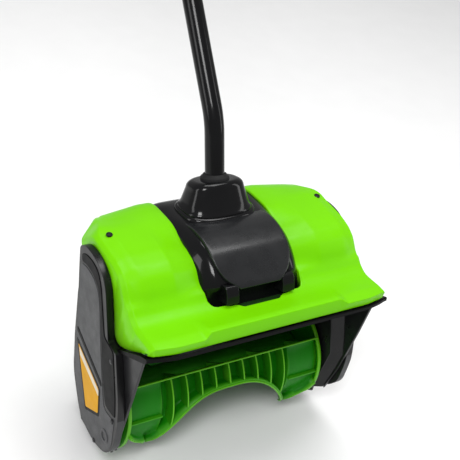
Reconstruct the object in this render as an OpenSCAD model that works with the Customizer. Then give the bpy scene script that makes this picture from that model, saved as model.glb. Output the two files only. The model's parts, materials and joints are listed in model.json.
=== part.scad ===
// Cordless snow shovel: a belt driven paddle rotor under a moulded hood, on a two piece bent shaft
// with an adjustable front handle, a trigger handle and a slide-in battery.
// Row frame: Z up from the ground, -Y is the front (where the snow goes), X runs across the head.
// The origin is the middle of the scraper sole, on the ground.
// The head is drawn in its own frame: origin on the rotor axle, Z along the lower shaft, Y to the back.

/* [Rotor] */
// Radius of the blade edges
blade_r = 78; // [76:0.5:79]
// Radius of the round end discs
disc_r = 76; // [70:0.5:77]
// Distance between the outer faces of the two end discs
rotor_len = 304; // [280:1:304]
// Number of stiffening ribs on each blade
rib_count = 9; // [5:2:11]
// Distance between two ribs
rib_pitch = 21.8; // [16:0.2:22]
// Axle diameter
axle_d = 12; // [10:1:12]

/* [Head] */
// Width across the hood
hood_w = 344; // [340:1:346]
// Wall of the hood, covers and other mouldings
wall = 3; // [2.5:0.1:3.2]
// Half width of the channel between the two pods
channel_hw = 71.5; // [68:0.5:74]
// Height of the lip above the axle, in the head frame
lip_z = 126; // [124:0.5:128]
// Forward tip of the head when it works on the ground, in degrees
head_pitch = 20; // [15:1:25]
// Clearance from the rotor axle to the ground
axle_h = 82; // [82:0.5:86]

/* [Drive] */
// Pitch radius of the rotor pulley
driven_r = 34; // [30:1:35]
// Pitch radius of the motor pulley
drive_r = 12; // [10:1:13]
// Outer diameter of the motor case
motor_d = 66; // [56:1:68]

/* [Shaft] */
// Outside diameter of the tubes
tube_d = 25.4; // [25:0.1:26]
// Tube wall
tube_wall = 1.6; // [1.2:0.1:2]
// Angle between the lower stub and the long upper part, in degrees
shaft_bend = 20; // [15:1:25]
// Length of the upper part from the bend to the far end of the battery
upper_len = 705; // [700:1:760]
// Place of the front handle clamp along the upper part
clamp_s = 330; // [310:1:340]

/* [Handles] */
// Height of the front handle loop above its pivot
loop_h = 132; // [110:1:140]
// Width of the front handle loop between its grip ends
loop_w = 150; // [130:1:160]
// Width of the rear grip
grip_w = 34; // [32:1:38]

/* [Hidden] */

$fn = 64;
gap = 0.3;                              // working gap between parts that move past each other
run_fit = 0.05;                         // radial clearance of a running fit
axle_y = -28;                            // the axle stands in front of the scraper sole
hood_hw = hood_w / 2;
disc_t = 4;
plate_x0 = rotor_len / 2 + 4.5;         // inner face of a side plate
plate_t = 3.5;
plate_x1 = plate_x0 + plate_t;
cover_x0 = plate_x1 + gap;              // inner edge of an end cover
cover_x1 = hood_hw + 1;                 // end of the deep part of a cover
cover_x2 = hood_hw + 10;                // outer face of a cover
belt_x = plate_x1 + 5.2;                // middle of the belt
belt_w = 7;
flange_w = 0.9;                         // thickness of a pulley flange
seat_w = 2;                             // bearing seat inside a side plate
shroud_r = blade_r + 3.5;               // inside of the sheet around the rotor
tip_x = 112;                            // the blade edge dips most at this distance from the middle
tube_r = tube_d / 2;
shaft_y = -38;                          // axis of the lower stub in front of the axle
bend_z = 356;                           // corner of the bent shaft above the axle
bend_r = 110;
bend_t = bend_r * tan(shaft_bend / 2);  // length of the stub taken by half the bend
stub_z0 = 197;                          // lower end of the bent tube
boss_z0 = 226;
boss_z1 = 280;
lower_end = 232;                        // end of the bent tube along the upper part
upper_start = 236;                      // start of the straight tube
upper_end = 470;                        // end of the straight tube, inside the rear handle
coupler_s0 = 200;
coupler_s1 = 268;
motor_y = -48;
motor_z = 168;
motor_x0 = -150;                        // pulley end of the motor case
motor_len = 76;
pivot_y = -34;                          // pivot of the front handle, above the tube
clamp_hl = 20;                          // half length of the clamp along the tube
leg_x1 = 28;                            // outside of the front handle's hubs
neck_s0 = 425;
neck_s1 = 482;
hole_s0 = 488;                          // hand hole of the rear handle
hole_s1 = 584;
hole_y0 = -18;
hole_y1 = 22;
grip_top = -48;
guard_bot = 38;
block_s0 = 592;                         // battery housing
block_s1 = 656;
block_hw = 43;
block_y0 = -46;
block_y1 = 38;
pack_hw = 37.5;
pack_y0 = -40;
pack_y1 = 32;
pack_s0 = 606;
trigger_y = -27;                        // trigger pin
trigger_s = 546;
pin_r = 2.5;
lock_s = 506;
screw_x = 156;                          // screw in the top of each pod
cover_screw_at = [[-34, -46], [-92, 8], [-98, 92]];
sole_y0 = 18;                          // front of the scraper sole, from the axle
sole_y1 = 38;                           // back of the scraper sole

// ---- frames and small helpers ----

module head_frame() {
    translate([0, axle_y, axle_h]) rotate([-head_pitch, 0, 0]) children();
}

// Z runs along the upper shaft from the bend, -Y is its top side
module shaft_frame() {
    head_frame() translate([0, shaft_y, bend_z]) rotate([-shaft_bend, 0, 0]) children();
}

// pushes a side outline drawn in (y, z) from x0 to x1
module slab_x(x0, x1) {
    translate([x0, 0, 0]) rotate([90, 0, 90]) linear_extrude(x1 - x0) children();
}

module rod_x(x0, x1, y, z, r) {
    translate([x0, y, z]) rotate([0, 90, 0]) cylinder(r = r, h = x1 - x0);
}

module box(lo, hi) {
    translate(lo) cube([hi[0] - lo[0], hi[1] - lo[1], hi[2] - lo[2]]);
}

module both_sides() {
    children();
    mirror([1, 0, 0]) children();
}

function arc(cy, cz, r, a0, a1, n) = [for (i = [0:n]) let (a = a0 + (a1 - a0) * i / n) [cy + r * cos(a), cz + r * sin(a)]];

// ---- outlines in the head frame, as [y, z] ----

// hood skin from the lip, up the front, over the top and down the back
hood_skin = concat(
    [[-184, lip_z], [-189, lip_z + 13], [-183, lip_z + 17], [-160, lip_z + 21.5], [-146, lip_z + 26]],
    [[-136, lip_z + 32], [-129.5, lip_z + 41], [-124.5, lip_z + 51], [-118, lip_z + 65]],
    [[-107, lip_z + 81], [-92, lip_z + 92.5], [-75, lip_z + 100], [-40, lip_z + 113.5], [-10, lip_z + 122]],
    [[8, lip_z + 122], [22, lip_z + 116], [33, lip_z + 100], [44, lip_z + 64], [58, lip_z + 10], [66, lip_z - 26]]);

// outer skin of the motor cover under its raised panel
cover_skin = [[-141, 157], [-133, 163], [-127, 174], [-121, 189], [-109, 204], [-91, 216.5], [-75, 223],
    [-40, 236.5], [-10, 245], [8, 245], [20, 239], [30, 222], [39, 190], [44, 172]];

// face of the raised panel
panel_skin = [[-146, 174], [-138.5, 184], [-131, 199], [-118, 216.5], [-98, 229], [-74, 236]];

// deep part of an end cover, and its raised outer face
cover_deep = concat([[-86, 100], [-86, 190]], arc(-64, 192, 22, 165, 90, 5),
    [[-36, 221], [-14, 219], [-6, 206], [14, 139], [33, 69], [40, 32], [41, 4]], arc(0, 0, 41, -10, -70, 5),
    [[-12, -50], [-36, -55], [-50, -53], [-68, -26], [-80, 12], [-86, 45]]);
cover_face = concat([[-107, 107], [-82, 116], [-80, 186]], arc(-62, 190, 18, 165, 95, 4),
    [[-38, 215], [-24, 212], [-17, 195], [-4, 139], [14, 69], [18, 32], [16, -4], [9, -28], [-14, -43]],
    [[-38, -50], [-64, -50], [-87, -36], [-101, 12], [-107, 46]]);

// a side plate steps outwards by step_w between its fold and its shoulder, and runs on to the front edge
plate_fold = [[-87, 103], [-87, 45], [-81.5, 12], [-69.5, -27], [-51, -55]];
plate_shoulder = [[-104, 104], [-104, 40], [-101, 12], [-88, -16], [-60, -54]];
plate_front = [[-162, 114], [-134, 62], [-108, 16], [-92, -12], [-61, -55]];
step_w = 12;

// flat of a side plate: fold, ground shoe, round back and the top inside the hood
plate_outline = concat(plate_fold, [[-48, -62], [14.9, -81.8], [60, -65.4], [66, -44],
    [74, -8], [74, 20], [66, 62], [48, 128], [40, 150], [-84, 150]]);

// ---- head ----

// front and back corners of the pods; inset moves the cut inwards for the hollow
module hood_corner_cut(inset) {
    far = hood_hw + 1;
    translate([-inset, inset, lip_z + 24 - inset]) linear_extrude(120)
        polygon([[far, -88], [far - 4, -112], [far - 13, -124], [far - 27, -131], [far - 27, -200], [far + 9, -200],
            [far + 9, -88]]);
    translate([-inset, -inset, 60]) linear_extrude(200)
        polygon([[far, 4], [far - 23, 44], [far - 23, 90], [far + 9, 90], [far + 9, 4]]);
}

module hood_hollow() {
    difference() {
        union() {
            slab_x(wall - hood_hw + 12, hood_hw - wall - 12) {
                offset(delta = -wall) polygon(hood_skin);
                translate([0, -12]) offset(delta = -wall) polygon(hood_skin);
            }
            both_sides() slab_x(hood_hw - 30, hood_hw - wall) intersection() {
                offset(delta = -wall) polygon(hood_skin);
                translate([-102, 0]) square([160, 260]);
            }
        }
        both_sides() hood_corner_cut(wall);
    }
}

module hood() {
    color("YellowGreen") head_frame() difference() {
        slab_x(-hood_hw, hood_hw) polygon(hood_skin);
        hood_hollow();
        slab_x(-channel_hw, channel_hw)
            polygon([[-141.5, 150], [-141.5, 280], [80, 280], [80, 170], [0, 170], [0, 150]]);
        both_sides() hood_corner_cut(0);
        both_sides() slab_x(plate_x0 - 2, hood_hw + 20) offset(delta = 0.5) polygon(cover_deep);
        both_sides() box([plate_x0 - 1, -94, 60], [plate_x1 + 1, 60, 151]);
        both_sides() rod_x(hood_hw - 20, hood_hw + 5, 0, 0, shroud_r + 8);
        slab_x(-hood_hw - 1, hood_hw + 1) polygon(arc(0, 0, shroud_r + 3.4, 0, 110, 24));
        both_sides() translate([screw_x, -50, 0]) cylinder(r = 2.2, h = 300);
        both_sides() translate([screw_x, -50, 232]) cylinder(r = 4.4, h = 30);
    }
}

module front_trim() {
    color("DimGray") head_frame() difference() {
        slab_x(-hood_hw - 4, hood_hw + 4)
            polygon([[-187, lip_z - 0.4], [-187, lip_z - 4], [-176, lip_z - 8], [-98, 104], [-98, 107.4],
                [-168, lip_z - 3.8], [-176, lip_z - 1.4], [-184, lip_z - 0.4]]);
        both_sides() box([plate_x0 - 0.3, -118, 90], [200, -90, 130]);
    }
}

module drum_shroud() {
    sheet = 2.6;
    color("Black") head_frame() slab_x(-plate_x0 + 0.2, plate_x0 - 0.2) polygon(concat(
        [[-97.6, 104.2]], [[-56, 92]], arc(0, 0, shroud_r, 104, -22, 30),
        arc(0, 0, shroud_r + sheet, -22, 104, 30), [[-56, 95], [-97.6, 107]]));
}

module bearing_screw_holes(r) {
    for (a = [90, 210, 330]) rod_x(plate_x0 - seat_w - 1, plate_x1 + 1, 21 * cos(a), 21 * sin(a), r);
}

// thin upright bar between two points of an outline
module edge_bar(a, b, x) {
    slab_x(x, x + plate_t) polygon([a, b, b + [1, 1], a + [1, 1]]);
}

module plate_wing() {
    last = len(plate_fold) - 1;
    for (i = [0:last - 1]) hull() {
        edge_bar(plate_fold[i], plate_fold[i + 1], plate_x0);
        edge_bar(plate_shoulder[i], plate_shoulder[i + 1], plate_x0 + step_w);
    }
    slab_x(plate_x0 + step_w, plate_x0 + step_w + plate_t)
        polygon(concat(plate_shoulder, [for (i = [last:-1:0]) plate_front[i]]));
}

module side_plate() {
    plate_wing();
    difference() {
        union() {
            slab_x(plate_x0, plate_x1) polygon(plate_outline);
            rod_x(plate_x0 - seat_w, plate_x1, 0, 0, 17.5);
        }
        rod_x(plate_x0 - seat_w - 1, plate_x1 + 1, 0, 0, 14.05);
        rod_x(plate_x0 - 1, plate_x1 + 1, motor_y, motor_z, 20);
        bearing_screw_holes(1.8);
    }
}

module right_side_plate() {
    color("Black") head_frame() side_plate();
}

module left_side_plate() {
    color("Black") head_frame() mirror([1, 0, 0]) side_plate();
}

module cover_screw_holes(r) {
    for (p = concat(cover_screw_at, [[10, 96]])) rod_x(cover_x0 - 1, cover_x2 + 1, p[0], p[1], r);
}

module end_cover() {
    difference() {
        union() {
            slab_x(cover_x0, cover_x1) polygon(cover_deep);
            slab_x(cover_x1, cover_x2) polygon(cover_face);
        }
        slab_x(cover_x0 - 1, cover_x1 - wall) offset(delta = -wall) polygon(cover_deep);
        slab_x(cover_x1 - wall - 1, cover_x2 - wall) offset(delta = -wall) polygon(cover_face);
        cover_screw_holes(2.2);
    }
    // post for the screw at the bottom
    difference() {
        rod_x(cover_x0, cover_x1 - wall, cover_screw_at[0][0], cover_screw_at[0][1], 4);
        cover_screw_holes(1.9);
    }
}

module left_belt_cover() {
    color("DarkSlateGray") head_frame() mirror([1, 0, 0]) end_cover();
}

module right_end_cover() {
    color("DarkSlateGray") head_frame() end_cover();
}

module scraper_bar() {
    color("DimGray") translate([0, axle_y, axle_h]) slab_x(-plate_x0, plate_x0) polygon(concat(
        [[sole_y0, -axle_h], [sole_y1, -axle_h], [50, -axle_h + 14], [56.5, -axle_h + 24]],
        arc(0, 0, blade_r + 2.6, -46, -77, 12)));
}

module motor_cover() {
    color("DarkSlateGray") head_frame() difference() {
        union() {
            difference() {
                slab_x(-channel_hw + 0.8, channel_hw - 0.8) polygon(cover_skin);
                slab_x(-channel_hw + 0.8 + wall, channel_hw - 0.8 - wall) {
                    offset(delta = -wall) polygon(cover_skin);
                    translate([-4, -12]) offset(delta = -wall) polygon(cover_skin);
                }
            }
            intersection() {
                slab_x(-58, 58) polygon(concat(panel_skin, [[-70, 223], [-90, 215], [-107, 203], [-119, 188],
                    [-125, 174], [-131, 164], [-134, 162], [-140, 166]]));
                translate([0, -60, 0]) rotate([90, 0, 0]) linear_extrude(100)
                    polygon([[-58, 245], [-56, 212], [-54, 196], [-46, 183], [-34, 173], [-30, 160],
                        [30, 160], [34, 173], [46, 183], [54, 196], [56, 212], [58, 245]]);
            }
        }
        translate([0, shaft_y, 180]) cylinder(r = 19.2, h = 100);
    }
}

module rounded_block(w, d, r) {
    for (x = [-1, 1], y = [-1, 1]) translate([x * (w / 2 - r), y * (d / 2 - r), 0]) cylinder(r = r, h = 1, $fn = 32);
}

module shaft_boss() {
    color("Black") head_frame() difference() {
        union() {
            difference() {
                translate([0, shaft_y, 0]) hull() {
                    translate([0, 4, boss_z0]) rounded_block(104, 72, 14);
                    translate([0, 0, boss_z0 + 34]) rounded_block(86, 54, 13);
                }
                slab_x(-100, 100) polygon(concat(cover_skin, [[44, 100], [-141, 100]]));
            }
            translate([0, shaft_y, 0]) hull() {
                translate([0, 0, boss_z0 + 35]) rounded_block(86, 54, 13);
                translate([0, 0, boss_z1 - 1]) rounded_block(66, 46, 12);
            }
            translate([0, shaft_y, stub_z0 - 4]) cylinder(r = 18.6, h = 60);
        }
        translate([0, shaft_y, stub_z0]) cylinder(r = tube_r + 0.1, h = 100);
        translate([0, shaft_y, stub_z0 - 10]) cylinder(r = 8, h = 100);
    }
}

module boss_collar() {
    color("Black") head_frame() translate([0, shaft_y, boss_z1 + 0.1]) rotate_extrude() polygon([[tube_r + 0.1, 0],
        [18.4, 0], [18.4, 4], [15.6, 7], [tube_r + 0.1, 7]]);
}

// ---- drive ----

module motor_case() {
    color("Silver") head_frame() difference() {
        rod_x(motor_x0, motor_x0 + motor_len, motor_y, motor_z, motor_d / 2);
        rod_x(motor_x0 + 4, motor_x0 + motor_len - 4, motor_y, motor_z, motor_d / 2 - 5);
        rod_x(motor_x0 - 1, motor_x0 + motor_len + 1, motor_y, motor_z, 4 + run_fit);
    }
}

module motor_armature() {
    color("Peru") head_frame() {
        rod_x(-cover_x1 + 2, motor_x0 + motor_len + 2, motor_y, motor_z, 4);
        rod_x(motor_x0 + 12, motor_x0 + motor_len - 14, motor_y, motor_z, motor_d / 2 - 7);
    }
}

module motor_bracket() {
    base_z = motor_z - motor_d / 2 - 8;
    color("Gray") head_frame() difference() {
        union() {
            box([motor_x0 + 10, motor_y - 34, base_z], [motor_x0 + motor_len - 10, motor_y + 34, motor_z - 8]);
            box([motor_x0 + 10, motor_y - 34, shroud_r + 26], [motor_x0 + 22, motor_y + 34, base_z]);
            box([motor_x0 + motor_len - 22, motor_y - 34, shroud_r + 26], [motor_x0 + motor_len - 10, motor_y + 34, base_z]);
        }
        rod_x(motor_x0 - 10, motor_x0 + motor_len + 10, motor_y, motor_z, motor_d / 2 + 0.05);
    }
}

module pulley(r, bore) {
    half = belt_w / 2 + 0.4;
    difference() {
        union() {
            rod_x(-belt_x - half, -belt_x + half, 0, 0, r - 1.5);
            rod_x(-belt_x - half - flange_w, -belt_x - half, 0, 0, r + 1);
            rod_x(-belt_x + half, -belt_x + half + flange_w, 0, 0, r + 1);
        }
        rod_x(-200, -100, 0, 0, bore);
    }
}

module drive_pulley() {
    color("Silver") head_frame() translate([0, motor_y, motor_z]) pulley(drive_r, 4);
}

module driven_pulley() {
    color("Gray") head_frame() difference() {
        pulley(driven_r, axle_d / 2);
        for (a = [0:60:300]) rod_x(-200, -100, 20 * cos(a), 20 * sin(a), 6);
    }
}

// side outline of the belt: two arcs and the straight runs that touch both
function belt_loop(grow) = let (
    dy = motor_y, dz = motor_z, d = norm([dy, dz]), base = atan2(dz, dy),
    open = acos((driven_r - drive_r) / d))
    concat(arc(0, 0, driven_r + grow, base + open, base + 360 - open, 40),
        arc(dy, dz, drive_r + grow, base - open, base + open, 20));

module drive_belt() {
    color("Black") head_frame() slab_x(-belt_x - belt_w / 2, -belt_x + belt_w / 2) difference() {
        polygon(belt_loop(1.3));
        polygon(belt_loop(-1.1));
    }
}

module bearing() {
    difference() {
        rod_x(plate_x0 - seat_w + 0.1, plate_x1 - 0.1, 0, 0, 14);
        rod_x(plate_x0 - seat_w - 1, plate_x1 + 1, 0, 0, axle_d / 2 + run_fit);
    }
}

module right_bearing() {
    color("Silver") head_frame() bearing();
}

module left_bearing() {
    color("Silver") head_frame() mirror([1, 0, 0]) bearing();
}

module rotor_axle() {
    color("Silver") head_frame() {
        rod_x(-cover_x1 + 1, plate_x1 + 7, 0, 0, axle_d / 2);
    }
}

module axle_nut() {
    color("Silver") head_frame() difference() {
        translate([plate_x1 + 3.4, 0, 0]) rotate([0, 90, 0]) cylinder(r = 10, h = 6, $fn = 6);
        rod_x(0, 250, 0, 0, axle_d / 2);
    }
}

// edge of a blade: it leads in the middle and trails towards the ends
function edge_angle(x) = abs(x) < tip_x ? 178 + 70 * pow(abs(x) / tip_x, 3)
    : 214 - 12 * pow((abs(x) - tip_x) / (rotor_len / 2 - tip_x), 2);

module blade() {
    hub = 17;
    // straight flange with the top edge
    rotate([154 - 1.2, 0, 0]) box([-rotor_len / 2 + disc_t, 12, 0], [rotor_len / 2 - disc_t, blade_r, 3]);
    // ribs from the flange to the leading edge
    for (i = [0:rib_count - 1]) {
        x = (i - (rib_count - 1) / 2) * rib_pitch;
        slab_x(x - 1.5, x + 1.5) polygon(concat([[0, 0]], arc(0, 0, blade_r - 0.2, 154, edge_angle(x), 8)));
    }
    // leading sheet, one flat strip for each step across the rotor
    strips = 12;
    step = (rotor_len - 2 * disc_t) / strips;
    for (i = [0:strips - 1]) {
        x0 = -rotor_len / 2 + disc_t + i * step;
        a = edge_angle(x0 + step / 2);
        rotate([a, 0, 0]) box([x0, 12, -3], [x0 + step, blade_r, 0]);
    }
    // curved back that joins the flange and the sheet between the ribs
    slab_x(-rotor_len / 2 + disc_t, rotor_len / 2 - disc_t)
        polygon(concat(arc(0, 0, 52, 154, 179, 6), arc(0, 0, 49, 179, 154, 6)));
}

module paddle_rotor() {
    color("ForestGreen") head_frame() difference() {
        union() {
            both_sides() rod_x(rotor_len / 2 - disc_t, rotor_len / 2, 0, 0, disc_r);
            rod_x(-rotor_len / 2, rotor_len / 2, 0, 0, 17);
            blade();
            rotate([180, 0, 0]) blade();
        }
        rod_x(-200, 200, 0, 0, axle_d / 2);
    }
}

module control_board() {
    color("DarkGreen") head_frame() box([4, -96, 128], [66, -16, 130]);
}

module heat_sink() {
    color("Silver") head_frame() {
        box([8, -92, 130.2], [62, -20, 134]);
        for (i = [0:6]) box([10 + i * 8, -92, 134], [12 + i * 8, -20, 150]);
    }
}

// ---- shaft ----

// straight stub, bend and straight upper stretch of one tube radius
module bent_path_tube(r, z0, s1) {
    lap = 0.4;
    translate([0, shaft_y, z0]) cylinder(r = r, h = bend_z - bend_t - z0);
    translate([0, shaft_y + bend_r, bend_z - bend_t]) rotate([90, 0, -90]) rotate([0, 0, -lap])
        rotate_extrude(angle = shaft_bend + 2 * lap) translate([bend_r, 0]) circle(r = r + 0.03);
    translate([0, shaft_y, bend_z]) rotate([-shaft_bend, 0, 0]) translate([0, 0, bend_t]) cylinder(r = r, h = s1 - bend_t);
}

module lower_shaft() {
    color("Black") head_frame() difference() {
        bent_path_tube(tube_r, stub_z0 + 0.2, lower_end);
        bent_path_tube(tube_r - tube_wall, stub_z0 + 0.1, lower_end + 0.1);
    }
}

module upper_shaft() {
    color("Black") shaft_frame() difference() {
        translate([0, 0, upper_start]) cylinder(r = tube_r, h = upper_end - upper_start);
        translate([0, 0, upper_start - 1]) cylinder(r = tube_r - tube_wall, h = upper_end - upper_start + 2);
    }
}

module shaft_coupler() {
    color("Black") shaft_frame() difference() {
        union() {
            translate([0, 0, coupler_s0]) cylinder(r = 17.5, h = coupler_s1 - coupler_s0);
            box([0, -12, coupler_s0 + 20], [24, 12, coupler_s1 - 20]);
        }
        translate([0, 0, coupler_s0 - 1]) cylinder(r = tube_r + 0.1, h = coupler_s1 - coupler_s0 + 2);
        rod_x(14, 30, 0, (coupler_s0 + coupler_s1) / 2, 4 + run_fit);
    }
}

module knob(x0) {
    rod_x(x0, x0 + 12, 0, 0, 13);
    for (a = [0:72:288]) rotate([a, 0, 0]) rod_x(x0, x0 + 12, 12, 0, 6.5);
}

module coupler_knob() {
    color("Black") shaft_frame() translate([0, 0, (coupler_s0 + coupler_s1) / 2]) {
        knob(24 + gap);
        rod_x(16, 26, 0, 0, 4);
    }
}

module handle_clamp() {
    color("Black") shaft_frame() difference() {
        union() {
            translate([0, 0, clamp_s - clamp_hl]) cylinder(r = 19, h = 2 * clamp_hl);
            box([-11, pivot_y, clamp_s - 11], [11, -10, clamp_s + 11]);
            rod_x(-11, 11, pivot_y, clamp_s, 11);
        }
        translate([0, 0, clamp_s - clamp_hl - 1]) cylinder(r = tube_r + run_fit, h = 2 * clamp_hl + 2);
        rod_x(-20, 20, pivot_y, clamp_s, 4 + run_fit);
    }
}

// flat sided leg of the loop, in the plane of x and the height above the pivot
module loop_leg() {
    outer = loop_w / 2 + 8;
    translate([0, 0, -7]) linear_extrude(14) polygon([[12, 0], [leg_x1, 0], [leg_x1, -30], [outer, -72],
        [outer, -loop_h - 8], [outer - 16, -loop_h - 8], [outer - 16, -80], [12, -38]]);
}

module front_handle() {
    color("Black") shaft_frame() translate([0, pivot_y, clamp_s]) difference() {
        union() {
            both_sides() {
                rod_x(11 + gap, leg_x1, 0, 0, 12);
                loop_leg();
            }
            rod_x(-loop_w / 2, loop_w / 2, -loop_h, 0, 8);
        }
        rod_x(-40, 40, 0, 0, 4 + run_fit);
    }
}

module front_grip() {
    color("DimGray") shaft_frame() translate([0, pivot_y, clamp_s]) difference() {
        rod_x(-54, 54, -loop_h, 0, 14);
        rod_x(-60, 60, -loop_h, 0, 8.05);
    }
}

module clamp_knob() {
    color("Black") shaft_frame() translate([0, pivot_y, clamp_s]) {
        rod_x(-leg_x1 - 3, leg_x1 + 1, 0, 0, 4);
        rod_x(-leg_x1 - 3, -leg_x1 - gap, 0, 0, 7);
        knob(leg_x1 + gap);
    }
}

// ---- rear handle ----

module handle_body() {
    translate([0, 0, neck_s0]) cylinder(r = 22, h = neck_s1 - neck_s0);
    // loop around the hand hole
    difference() {
        slab_x(-grip_w / 2, grip_w / 2) polygon([[-22, neck_s0 + 12], [grip_top, hole_s0 - 8], [grip_top, block_s0 + 6],
            [guard_bot, block_s0 + 6], [guard_bot, hole_s0 + 4], [22, neck_s0 + 12]]);
        slab_x(-60, 60) polygon([[hole_y0, hole_s0], [hole_y0, hole_s1], [hole_y1, hole_s1], [hole_y1, hole_s0 + 8],
            [hole_y1 - 8, hole_s0]]);
    }
    box([-block_hw, block_y0, block_s0], [block_hw, block_y1, block_s1]);
}

module handle_hollows() {
    // tube, switch bay in the grip, cable way and the battery pocket
    translate([0, 0, neck_s0 - 1]) cylinder(r = tube_r + 0.1, h = upper_end - neck_s0 + 1.3);
    box([-13, grip_top + 3, hole_s0 - 2], [13, hole_y0 - 3, block_s0 - 0.1]);
    box([-6, -34, upper_end + 0.2], [13, 8, hole_s0 - 1.8]);
    box([-pack_hw - 0.5, pack_y0 - 0.5, pack_s0 - 6], [pack_hw + 0.5, pack_y1 + 0.5, block_s1 + 1]);
    box([-7, -22 - 20, block_s0 - 2], [7, -22, pack_s0]);
    // openings for the trigger, the lock-off button and the latch
    box([-6.5, hole_y0 - 5, 496], [6.5, hole_y0 + 5, 552]);
    box([-7.4, grip_top - 1, lock_s - 11.4], [7.4, grip_top + 5, lock_s + 11.4]);
    box([-13, block_y0 - 1, block_s1 - 14], [13, block_y0 + 8, block_s1 + 1]);
    rod_x(-60, 60, trigger_y, trigger_s, pin_r);
    for (p = [[0, 452], [30, 500], [30, 588]]) rod_x(-60, 60, p[0] == 0 ? 17.2 : p[0], p[1], 1.6);
}

module handle_left_shell() {
    color("YellowGreen") shaft_frame() difference() {
        handle_body();
        handle_hollows();
        box([0, -200, 0], [200, 200, 900]);
    }
}

module handle_right_shell() {
    color("YellowGreen") shaft_frame() difference() {
        handle_body();
        handle_hollows();
        box([-200, -200, 0], [0, 200, 900]);
    }
}

module rear_grip_pad() {
    color("Black") shaft_frame() difference() {
        box([-grip_w / 2 - 2.5, grip_top - 2.5, lock_s + 20], [grip_w / 2 + 2.5, grip_top + 18, hole_s1 + 2]);
        box([-grip_w / 2, grip_top, 0], [grip_w / 2, 0, 900]);
    }
}

module switch_block() {
    color("Black") shaft_frame() box([-9, grip_top + 6, 556], [9, hole_y0 - 4, 584]);
}

module trigger() {
    color("Black") shaft_frame() difference() {
        slab_x(-6, 6) polygon(concat([[-22, 499], [-10, 500], [-6, 508], [-8, 520], [-12, 534], [-20, 549]],
            arc(trigger_y, trigger_s, 5.5, 60, 180, 8), [[-31, 536], [-25, 500]]));
        rod_x(-20, 20, trigger_y, trigger_s, pin_r + run_fit);
    }
}

module trigger_pin() {
    color("Silver") shaft_frame() rod_x(-15.5, 15.5, trigger_y, trigger_s, pin_r);
}

// torsion spring wound on the trigger pin, as stacked coils
module trigger_spring() {
    color("Silver") shaft_frame() translate([0, trigger_y, trigger_s]) rotate([0, 90, 0])
        for (i = [0:3]) translate([0, 0, 7.6 + i * 1.2]) rotate_extrude($fn = 32) translate([3.4, 0]) circle(r = 0.5, $fn = 16);
}

module lock_off_button() {
    color("Black") shaft_frame() {
        box([-7, grip_top - 5, lock_s - 11], [7, grip_top + 3.4, lock_s + 11]);
        box([-8.4, grip_top + 3.4, lock_s - 13], [8.4, grip_top + 5.4, lock_s + 13]);
    }
}

module battery_terminal() {
    color("Black") shaft_frame() {
        box([-26, -14, pack_s0 - 5.8], [26, 12, pack_s0 - 2]);
        for (x = [-20, -7, 7, 20]) box([x - 0.8, -10, pack_s0 - 2], [x + 0.8, 8, pack_s0 + 8]);
    }
}

module battery_pack() {
    color("DarkSlateGray") shaft_frame() difference() {
        union() {
            box([-pack_hw, pack_y0, pack_s0], [pack_hw, pack_y1, block_s1 + 1]);
            box([-pack_hw - 4, pack_y0 - 4, block_s1 + 1], [pack_hw + 4, pack_y1 + 4, upper_len]);
        }
        for (x = [-20, -7, 7, 20]) box([x - 2, -12, pack_s0 - 1], [x + 2, 10, pack_s0 + 14]);
        box([-12.4, pack_y0 - 5, block_s1 - 22], [12.4, pack_y0 + 9, block_s1 + 26]);
    }
}

module battery_latch() {
    color("Black") shaft_frame() {
        box([-12, pack_y0 - 3.4, block_s1 + 3], [12, pack_y0 + 4, block_s1 + 25]);
        box([-12, pack_y0, block_s1 - 21], [12, pack_y0 + 4, block_s1 + 3]);
    }
}

// ---- cable and fasteners ----

// centre line of the cable inside the tubes, from the control board to the switch
function on_upper(y, s) = [0, shaft_y + y * cos(shaft_bend) + s * sin(shaft_bend), bend_z - y * sin(shaft_bend) + s * cos(shaft_bend)];
cable_route = concat([[34, -60, 152], [20, -52, 160], [6, -42, 172], [0, shaft_y, 190], [0, shaft_y, 240], [0, shaft_y, 300]],
    [for (i = [0:4]) let (a = shaft_bend * i / 4) [0, shaft_y + bend_r * (1 - cos(a)), bend_z - bend_t + bend_r * sin(a)]],
    [for (s = [80:60:420]) on_upper(0, s)],
    [for (q = [[0, 0, 465], [1, -3, 474], [6, -16, 480], [9.5, -28, 488], [9.5, -34, 500], [9.5, -34, 530], [8, -37, 542],
        [5, -37.5, 550], [5, -37.5, 555.8]]) [q[0], 0, 0] + on_upper(q[1], q[2])]);

function unit(v) = v / norm(v);

module swept_cable(route, r, sides) {
    n = len(route);
    rings = [for (i = [0:n - 1])
        let (t = unit(route[min(i + 1, n - 1)] - route[max(i - 1, 0)]), side = unit(cross(t, [0.3, 1, 0.1])), up = cross(side, t))
        [for (k = [0:sides - 1]) route[i] + r * (cos(360 * k / sides) * side + sin(360 * k / sides) * up)]];
    polyhedron(points = [for (ring = rings) for (q = ring) q], faces = concat(
        [[for (k = [sides - 1:-1:0]) k]],
        [for (i = [0:n - 2]) for (k = [0:sides - 1])
            [i * sides + k, i * sides + (k + 1) % sides, (i + 1) * sides + (k + 1) % sides, (i + 1) * sides + k]],
        [[for (k = [0:sides - 1]) (n - 1) * sides + k]]));
}

module power_cable() {
    color("Black") head_frame() swept_cable(cable_route, 3, 8);
}

module screw_y(x, y, z, l) {
    translate([x, y, z]) {
        cylinder(r = 3.8, h = 2.4);
        translate([0, 0, -l]) cylinder(r = 1.9, h = l);
    }
}

module hood_screws() {
    color("Silver") head_frame() both_sides() screw_y(156, -50, 232.2, 30);
}

module cover_screws() {
    color("Silver") head_frame() both_sides() for (i = [0:len(cover_screw_at) - 1]) {
        p = cover_screw_at[i];
        rod_x(i == 0 ? plate_x1 + 0.5 : cover_x1, cover_x2 + 0.2, p[0], p[1], 1.8);
        rod_x(cover_x2 + 0.1, cover_x2 + 1.8, p[0], p[1], 3.6);
    }
}

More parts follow.
